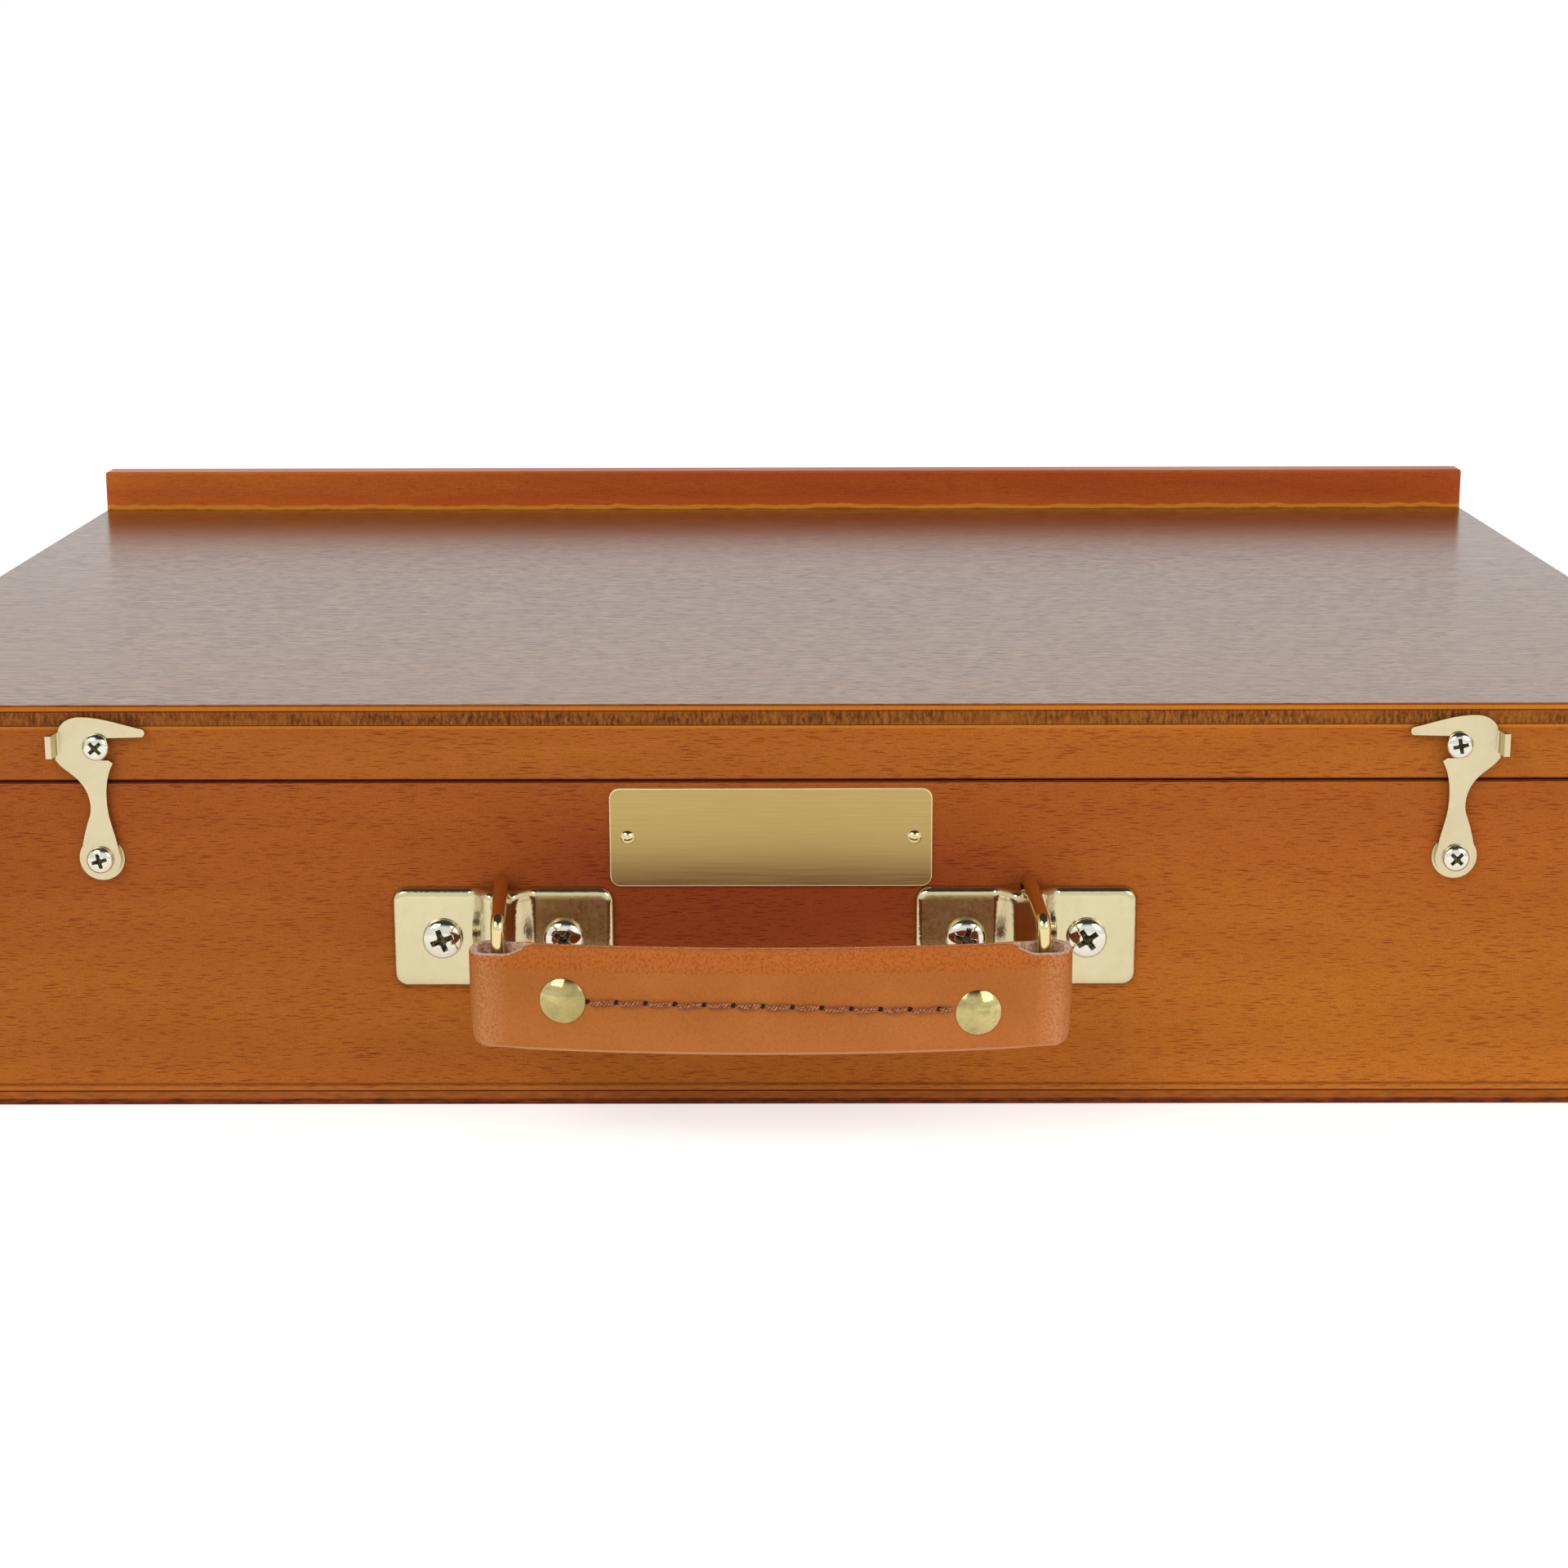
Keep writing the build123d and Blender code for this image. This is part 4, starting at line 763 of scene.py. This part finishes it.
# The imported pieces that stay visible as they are, by finish.
finishes = (
    (wall_wood, "base_front_wall"),
    (back_wood, "base_back_wall lid_back_rail"),
    (side_wood, "base_left_wall base_right_wall lid_left_rail lid_right_rail"),
    (rail_wood, "lid_front_rail"),
    (lid_veneer, "lid_panel"),
    (ledge_wood, "canvas_ledge"),
    (bottom_finish, "bottom_panel"),
    (divider_x, "long_divider palette_rear_cleat palette_front_cleat"),
    (divider_y, "cross_divider_1 cross_divider_2"),
    (palette_wood, "palette"),
    (bright_brass, "ring_left ring_right label_pins"),
    (latch_brass, "latch_washers"),
    (hinge_brass, "hinge_pins hinge_screws_base hinge_screws_lid"),
    (stay_steel, "stay_spacers_base stay_spacers_lid elbow_bolt_left elbow_bolt_right"),
)
for finish, nodes in finishes:
    for node in nodes.split():
        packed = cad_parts[node]
        packed.data.materials.clear()
        packed.data.materials.append(finish)

# ---------------------------------------------------------------- handle plates
PLATE_HALF = Vector((22.8, 10.6)) * MM
PLATE_CORNER = 3.0 * MM
PLATE_THICK = 1.8 * MM
PLATE_ROLL = 1.75 * MM
CROWN_X, FOOT_X, CROWN_HEIGHT = 2.52 * MM, 6.54 * MM, 5.4 * MM


def channel_height(x):
    """Height of the outer face over the wall at a distance from the middle of the plate."""
    share = min(1.0, max(0.0, (abs(x) - CROWN_X) / (FOOT_X - CROWN_X)))
    eased = share * share * (3 - 2 * share)
    return CROWN_HEIGHT + (PLATE_THICK - CROWN_HEIGHT) * (0.65 * share + 0.35 * eased)


def rim_distance(x, z):
    """Distance of a point of the plate to its outline, with rounded corners."""
    over_x = abs(x) - (PLATE_HALF.x - PLATE_CORNER)
    over_z = abs(z) - (PLATE_HALF.y - PLATE_CORNER)
    if over_x > 0 and over_z > 0:
        return PLATE_CORNER - math.hypot(over_x, over_z)
    return min(PLATE_HALF.x - abs(x), PLATE_HALF.y - abs(z))


def edge_steps(count, tight):
    """Even places from -1 to 1, and closer ones near both ends."""
    even = {round(-1 + 2 * i / count, 5) for i in range(count + 1)}
    close = {round(side * (1 - tight * k * k), 5) for side in (-1, 1) for k in range(6)}
    return sorted(even | close)


def handle_plate(node, material):
    """A pressed plate with a raised channel and rolled-down edges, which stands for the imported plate."""
    centre = middle(node)
    wall_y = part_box(node)[1].y
    steps_x, steps_z = edge_steps(110, 0.002), edge_steps(24, 0.004)
    work = bmesh.new()
    fronts, backs = [], []
    for across in steps_x:
        x = across * PLATE_HALF.x
        over = max(0.0, abs(x) - (PLATE_HALF.x - PLATE_CORNER))
        reach = PLATE_HALF.y - PLATE_CORNER + math.sqrt(max(0.0, PLATE_CORNER**2 - over**2))
        front_row, back_row = [], []
        for up in steps_z:
            z = up * reach
            edge = min(PLATE_ROLL, max(0.0, rim_distance(x, z)))
            fall = PLATE_ROLL - math.sqrt(max(0.0, PLATE_ROLL**2 - (PLATE_ROLL - edge) ** 2))
            height = channel_height(x)
            inner = max(0.0, height - PLATE_THICK)
            front_row.append(work.verts.new((centre.x + x, wall_y - height + fall, centre.z + z)))
            back_row.append(work.verts.new((centre.x + x, wall_y - inner, centre.z + z)))
        fronts.append(front_row)
        backs.append(back_row)
    for rows in (fronts, backs):
        for here, there in zip(rows, rows[1:]):
            for i in range(len(here) - 1):
                work.faces.new([here[i], there[i], there[i + 1], here[i + 1]])
    right, top = len(steps_x) - 1, len(steps_z) - 1
    outline = [(0, j) for j in range(top)] + [(i, top) for i in range(right)]
    outline += [(right, j) for j in range(top, 0, -1)] + [(i, 0) for i in range(right, 0, -1)]
    for (i, j), (k, m) in zip(outline, outline[1:] + outline[:1]):
        work.faces.new([fronts[i][j], fronts[k][m], backs[k][m], backs[i][j]])
    bmesh.ops.remove_doubles(work, verts=work.verts, dist=0.001 * MM)
    mesh = mesh_of(work, f"{node}_pressed")
    shade_smooth(mesh, 50)
    return piece_from(f"{node}_pressed", mesh, "base", [material], "plated_brass", node)


# ---------------------------------------------------------------- leather grip
# Strap coordinates: x from the middle of the grip, y from the axis through its loops, z over the floor.
STRAP_X, GRIP_Y = -1.25 * MM, -176.958 * MM
LOOP_X, LOOP_R = 55.35 * MM, 4.0 * MM
BOW, BODY, LOOP_THICK = 5.0 * MM, 2.28 * MM, 1.65 * MM
RIVET_X, JOIN_X, BEND_X = 40.3 * MM, 44.8 * MM, 47.0 * MM
RIVET_Z = {-1: 32.75 * MM, 1: 30.3 * MM}
STRAP_LOW, STRAP_HIGH = 22.4 * MM, 43.4 * MM
LAYERS = 2 * BODY + 0.04 * MM
# Towards the loops the strap narrows, loses thickness and has its rear lower part cut away.
NECK = (46.6 * MM, 52.6 * MM)
THINNING = (45.5 * MM, 53 * MM)
NECK_DROP, REAR_RISE, NECK_LIFT, REAR_CUT = 2.1 * MM, 1.0 * MM, 0.15 * MM, 5.6 * MM
CORNER_RUN, CORNER_RISE = 4.6 * MM, 2.6 * MM
# The section: a small radius at the foot, a rolled and leaning upper edge, rows close to the seam.
FOOT_ROLL, TOP_ROLL, NECK_ROLL = 0.4 * MM, 1.25 * MM, 0.65 * MM
LEAN, LEAN_REACH = 0.85 * MM, 4.6 * MM
SEAM_HALF, SKIN = 2.6 * MM, 0.3 * MM
SEAM_ROWS = [step * MM for step in (-2.2, -1.5, -1.0, -0.62, -0.3, 0.0, 0.3, 0.62, 1.0, 1.5, 2.2)]
INNER_ROWS, LIP_ROWS = 4, 7
# The seam, which drops from the left rivet to the right one.
SEAM_Z, SEAM_DROP, SEAM_ARCH = 32.65 * MM, 1.5 * MM, 0.35 * MM
STITCH_FIRST, STITCH_PITCH, STITCH_COUNT, STITCH_LAST = -35.8 * MM, 5.72 * MM, 13, 2.6 * MM
STRAND, SPREAD, TWIST, HOLE_GAP = 0.25 * MM, 0.27 * MM, 1.75 * MM, 0.07
SUNK, RISE, ARCH, SLANT = -0.70 * MM, 1.00 * MM, 0.22 * MM, 0.42 * MM
GROOVE_HALF, GROOVE_DEEP, DIMPLE_HALF, DIMPLE_DEEP = 0.55 * MM, 0.12 * MM, 0.6 * MM, 0.75 * MM
# The dark floor of a hole, a disc of painted shade, as (radius, height) in millimetres, and how deep it lies.
HOLE_FLOOR, HOLE_DEEP = [(0.0, 0.0), (0.82, 0.0), (0.80, 0.12), (0.5, 0.22), (0.0, 0.24)], 0.56 * MM


def ease(value, low, high):
    """A smooth step from 0 to 1 as a value goes from low to high."""
    share = min(1.0, max(0.0, (value - low) / (high - low)))
    return share * share * (3 - 2 * share)


def levelled(share, start, end, slope):
    """A smooth value from start, on a slope given over the whole step, to end, where it runs level."""
    a, b = share * share, share**3
    return (2 * b - 3 * a + 1) * start + (3 * a - 2 * b) * end + (b - 2 * a + share) * slope


def bowed(x):
    """The bow of the grip, as a parabola through both loops."""
    return -LOOP_R - BOW * (1 - (x / LOOP_X) ** 2)


def to_loop(x, bend, shift, end):
    """Follows the shifted bow to the bend, and then runs level into the loop."""
    x = abs(x)
    if x < bend:
        return bowed(x) + shift
    slope = 2 * BOW * bend / LOOP_X**2 * (LOOP_X - bend)
    return levelled((x - bend) / (LOOP_X - bend), bowed(bend) + shift, end, slope)


def front_y(x):
    """Outer face of the front layer."""
    return to_loop(x, BEND_X, 0.0, -LOOP_R)


def back_y(x):
    """Outer face of the back layer."""
    return to_loop(x, JOIN_X, LAYERS, LOOP_R)


def strap_outline():
    """Closed run of outer points in plan, each with its place: front, loop or back."""
    step = STITCH_PITCH / 12
    count = int(LOOP_X / step)
    xs = [i * LOOP_X / count for i in range(-count, count + 1)]
    points = [(x, front_y(x), "front") for x in xs]
    turns = 22
    for side, run in ((1, xs[::-1]), (-1, [])):
        for i in range(1, turns):
            angle = side * math.pi * (i / turns - 0.5)
            points.append((side * (LOOP_X + LOOP_R * math.cos(angle)), LOOP_R * math.sin(angle), "loop"))
        points += [(x, back_y(x), "back") for x in run]
    return points


def stitch_z(x):
    """Height of the sewn line, which drops a little from the left rivet to the right one."""
    share = ease(x, -36 * MM, 36 * MM)
    return SEAM_Z - SEAM_DROP * share + SEAM_ARCH * math.sin(math.pi * share)


def thread_dent(x, z):
    """How far the thread pulls the leather in: a shallow groove with a deeper dimple at each hole."""
    along = (x - STITCH_FIRST) / STITCH_PITCH
    if not -0.3 < along < STITCH_COUNT - 0.4:
        return 0.0
    off = (z - stitch_z(x)) / GROOVE_HALF
    near = (along - round(along)) * STITCH_PITCH / DIMPLE_HALF
    return GROOVE_DEEP * math.exp(-off * off) + DIMPLE_DEEP * math.exp(-near * near - off * off * 1.2)


def grip_mesh():
    """The folded strap: one closed ribbon with rolled upper edge, narrowed loops and suede inside."""
    points = strap_outline()
    total = len(points)
    work = bmesh.new()
    rings, sides = [], []
    for number, (x, y, place) in enumerate(points):
        before, after = points[number - 1], points[(number + 1) % total]
        tangent = Vector((after[0] - before[0], after[1] - before[1])).normalized()
        inward = Vector((-tangent.y, tangent.x))
        neck = ease(abs(x), *NECK)
        thick = BODY - (BODY - LOOP_THICK) * ease(abs(x), *THINNING)
        rear = ease(y, -2.5 * MM, 2.5 * MM) if abs(x) > JOIN_X else 0.0
        high = STRAP_HIGH - neck * (NECK_DROP - REAR_RISE * rear)
        low = STRAP_LOW + neck * NECK_LIFT
        if place == "loop":
            low += ease(y, -2.6 * MM, -1.0 * MM) * REAR_CUT
        elif place == "back":
            low += ease(abs(x), JOIN_X, JOIN_X + 2.5 * MM) * REAR_CUT
        if place != "back":
            outer = min(1.0, max(0.0, (abs(x) - (LOOP_X + LOOP_R - CORNER_RUN)) / CORNER_RUN))
            low += CORNER_RISE * (1 - math.sqrt(1 - outer * outer * 0.999))
        roll = TOP_ROLL - (TOP_ROLL - NECK_ROLL) * neck
        lean = LEAN * (1 - neck)
        seam = stitch_z(x)
        foot = low + FOOT_ROLL
        rows = [(thick - SKIN, low), (thick * 0.55, low), (FOOT_ROLL, low)]
        rows += [(FOOT_ROLL * (1 - math.sin(a)), low + FOOT_ROLL * (1 - math.cos(a))) for a in (0.5, 1.0)]
        levels = [foot + (seam - SEAM_HALF - foot) * k / 7 for k in range(8)]
        levels += [seam + step for step in SEAM_ROWS]
        levels += [seam + SEAM_HALF + (high - roll - seam - SEAM_HALF) * k / 8 for k in range(9)]
        for z in levels:
            pull = lean * max(0.0, 1 - (high - z) / LEAN_REACH) ** 2
            dent = thread_dent(x, z) if place != "loop" and abs(x) < JOIN_X else 0.0
            rows.append((pull + dent, z))
        top_pull = lean * (1 - roll / LEAN_REACH) ** 2
        top_depth = min(roll, thick - SKIN - top_pull)
        for k in range(1, 6):
            angle = math.radians(90) * k / 5
            rows.append((top_pull + top_depth * (1 - math.cos(angle)), high - roll * (1 - math.sin(angle))))
        rows.append((thick - 0.12 * MM, high - 0.02 * MM))
        rows += [(thick, high - SKIN), (thick, (high + low) / 2), (thick, low + SKIN)]
        ring = []
        for depth, z in rows:
            place_xy = Vector((x, y)) + inward * depth
            ring.append(work.verts.new((STRAP_X + place_xy.x, GRIP_Y + place_xy.y, z)))
        rings.append(ring)
        sides.append((neck, place))
    count = len(rings[0])
    for i in range(total):
        j = (i + 1) % total
        neck = max(sides[i][0], sides[j][0])
        for k in range(count):
            m = (k + 1) % count
            face = work.faces.new([rings[i][k], rings[j][k], rings[j][m], rings[i][m]])
            face.smooth = True
            inner = k >= count - INNER_ROWS
            lip = k >= count - LIP_ROWS and neck > 0.35
            face.material_index = 1 if inner or lip or k == 0 else 0
    return mesh_of(work, "grip_leather")


def tube(work, path, radius, sides=8):
    """A round cord through points, closed at its ends."""
    rings = []
    for i, point in enumerate(path):
        ahead, behind = path[min(i + 1, len(path) - 1)], path[max(i - 1, 0)]
        along = (ahead - behind).normalized()
        turn = along.to_track_quat("Z", "Y").to_matrix()
        spokes = [Vector((math.cos(TURN * k / sides), math.sin(TURN * k / sides), 0)) for k in range(sides)]
        rings.append([work.verts.new(point + turn @ spoke * radius) for spoke in spokes])
    for lower, upper in zip(rings, rings[1:]):
        for k in range(sides):
            m = (k + 1) % sides
            work.faces.new([lower[k], lower[m], upper[m], upper[k]])
    work.faces.new(rings[0][::-1])
    work.faces.new(rings[-1])


def stitch_mesh():
    """Two twisted strands for each stitch and a dark disc of painted shade in its hole, on the front and on
    the back of the grip.
    """
    rng = random.Random(7)
    work = bmesh.new()
    steps = 34
    for face, surface in ((-1, front_y), (1, back_y)):
        for number in range(STITCH_COUNT):
            start = STITCH_FIRST + number * STITCH_PITCH
            last = number == STITCH_COUNT - 1
            length = STITCH_LAST if last else STITCH_PITCH
            phase = rng.uniform(0, TURN)
            skew = rng.uniform(-0.10, 0.10) * MM
            fat = rng.uniform(0.93, 1.07)
            for strand in (0, 1):
                path = []
                for i in range(steps + 1):
                    share = i / steps
                    x = start + length * (HOLE_GAP + (1 - 2 * HOLE_GAP) * share)
                    dive = ease(share, 0.0, 0.13) * (1 if last else 1 - ease(share, 0.90, 1.0))
                    rise = SUNK + RISE * dive + ARCH * math.sin(math.pi * share)
                    drift = SLANT * (share - 0.5) + skew
                    angle = phase + TURN * share * length / TWIST + math.pi * strand
                    spread = SPREAD * (0.35 + 0.65 * dive) * fat
                    y = surface(x) + face * (rise + spread * math.cos(angle))
                    z = stitch_z(x) + drift + spread * math.sin(angle)
                    path.append(Vector((STRAP_X + x, GRIP_Y + y, z)))
                tube(work, path, STRAND * fat)
            # A dark disc of painted shade at the floor of each hole.
            sewn = len(work.faces)
            mouth_y = GRIP_Y + surface(start) - face * HOLE_DEEP
            mouth = facing(Vector((STRAP_X + start, mouth_y, stitch_z(start))), Vector((0, face, 0)))
            lathe(work, HOLE_FLOOR, 12, mouth, MM)
            work.faces.ensure_lookup_table()
            for spot in work.faces[sewn:]:
                spot.material_index = 1
    for face in work.faces:
        face.smooth = True
    return mesh_of(work, "grip_thread")


# In millimetres: radii of the rivet, and the places of the steps on its ball-shaped crown.
SHANK, HEAD, CROWN_RISE, BALL = 1.6, 4.5, 1.5, 8.2
CROWN_STEPS = (4.44, 4.3, 4.0, 3.6, 3.1, 2.6, 2.1, 1.6, 1.1, 0.6, 0.0)
BURR = [(3.2, 0.02), (3.36, 0.2), (3.3, 0.6), (2.9, 0.85), (1.7, 0.85), (1.5, 0.6), (0.0, 0.55)]


def rivet_mesh():
    """Two mushroom rivets with a rounded crown, their shanks and the burrs behind."""
    work = bmesh.new()
    half = BODY / MM + 0.02
    slope = 2 * BOW * RIVET_X / LOOP_X**2
    mid_y = GRIP_Y + (front_y(RIVET_X) + back_y(RIVET_X)) / 2
    for side in (-1, 1):
        mid = Vector((STRAP_X + side * RIVET_X, mid_y, RIVET_Z[side]))
        out = Vector((side * slope, -1, 0)).normalized()
        foot = half + 0.05
        head = [(0.0, 0.2), (SHANK, 0.2), (SHANK, foot), (HEAD - 0.2, foot)]
        head += [(HEAD - 0.04, foot + 0.04), (HEAD, foot + 0.1)]
        head += [(reach, half + CROWN_RISE - BALL + math.sqrt(BALL**2 - reach**2)) for reach in CROWN_STEPS]
        lathe(work, head, 56, facing(mid, out), MM)
        burr = [(0.0, 0.2), (SHANK, 0.2), (SHANK, half + 0.02)]
        burr += [(reach, half + rise) for reach, rise in BURR]
        lathe(work, burr, 48, facing(mid, -out), MM)
    mesh = mesh_of(work, "grip_rivets")
    shade_smooth(mesh, 42)
    return mesh


for side in ("left", "right"):
    handle_plate(f"handle_plate_{side}", pale_brass)
leather = leather_grain("leather_tan", STRAP_LOW, STRAP_HIGH)
leather_edge = suede("leather_suede", rgb(158, 104, 78), rgb(232, 196, 172))
piece_from("grip_leather", grip_mesh(), "strap", [leather, leather_edge], "strap_leather", "handle_strap")
piece_from("grip_thread", stitch_mesh(), "strap", [thread_finish("waxed_thread"), hole_shade], "strap_leather")
piece_from("grip_rivets", rivet_mesh(), "strap", [rivet_brass], "plated_brass", "handle_rivets")

# ---------------------------------------------------------------- rounded metal
softened_pairs = (
    # node of each side, the body it rides on, finish, slot, rounding in mm, steps
    ("latch_", "latch_", latch_brass, "plated_brass", 0.22, 3),
    ("hinge_leaf_base_", "base", hinge_brass, "hinge_brass", 0.15, 2),
    ("hinge_leaf_lid_", "lid", hinge_brass, "hinge_brass", 0.15, 2),
    ("stay_lower_", "stay_lower_", stay_steel, "stay_steel", 0.2, 2),
    ("stay_upper_", "stay_upper_", stay_steel, "stay_steel", 0.2, 2),
    ("wing_nut_", "stay_lower_", stay_steel, "stay_steel", 0.25, 2),
    ("turn_button_", "turn_button_", hinge_brass, "hinge_brass", 0.25, 2),
)
for side in ("left", "right"):
    for node, body, finish, slot_name, width, steps in softened_pairs:
        rides = body + side if body.endswith("_") else body
        softened(node + side, rides, finish, slot_name, width * MM, steps)
label = softened("label_plate", "base", label_brass, "label_brass", 0.28 * MM, 2)
# The rim faces take the brighter copy, a painted highlight; the flat face keeps the brushed metal.
label.data.materials.append(label_rim_highlight)
for face in label.data.polygons:
    face.material_index = 0 if abs(face.normal.y) > 0.98 else 1

# ---------------------------------------------------------------- screws
FRONT, DOWN = Vector((0, -1, 0)), Vector((0, 0, -1))


def to_middle(centre):
    """Screws in a side wall look towards the middle of the case."""
    return Vector((-1 if centre.x > 0 else 1, 0, 0))


screw_sets = (
    # node, body, finish, head radius, head height and shank in mm, outward, turns of the recesses
    ("handle_screws", "base", screw_bright, 4.15, 2.3, 1.5, FRONT, (0.35, 0.9, 1.3, 0.6)),
    ("latch_pivot_screws", "base", screw_bright, 2.75, 1.7, 1.2, FRONT, (0.25, 0.8)),
    ("latch_catch_screws", "lid", screw_bright, 2.75, 1.7, 2.0, FRONT, (0.75, 0.2)),
    ("button_screws", "lid", hinge_brass, 2.75, 1.7, 2.0, DOWN, (0.4, 1.0)),
    ("stay_screws_base", "base", stay_steel, 3.35, 1.7, 2.0, to_middle, (0.5, 1.1)),
    ("stay_screws_lid", "lid", stay_steel, 3.35, 1.7, 2.0, to_middle, (0.2, 0.9)),
)
for node, body, finish, radius, height, shank, outward, spins in screw_sets:
    screw_set(node, body, finish, radius * MM, height * MM, shank * MM, outward, spins)
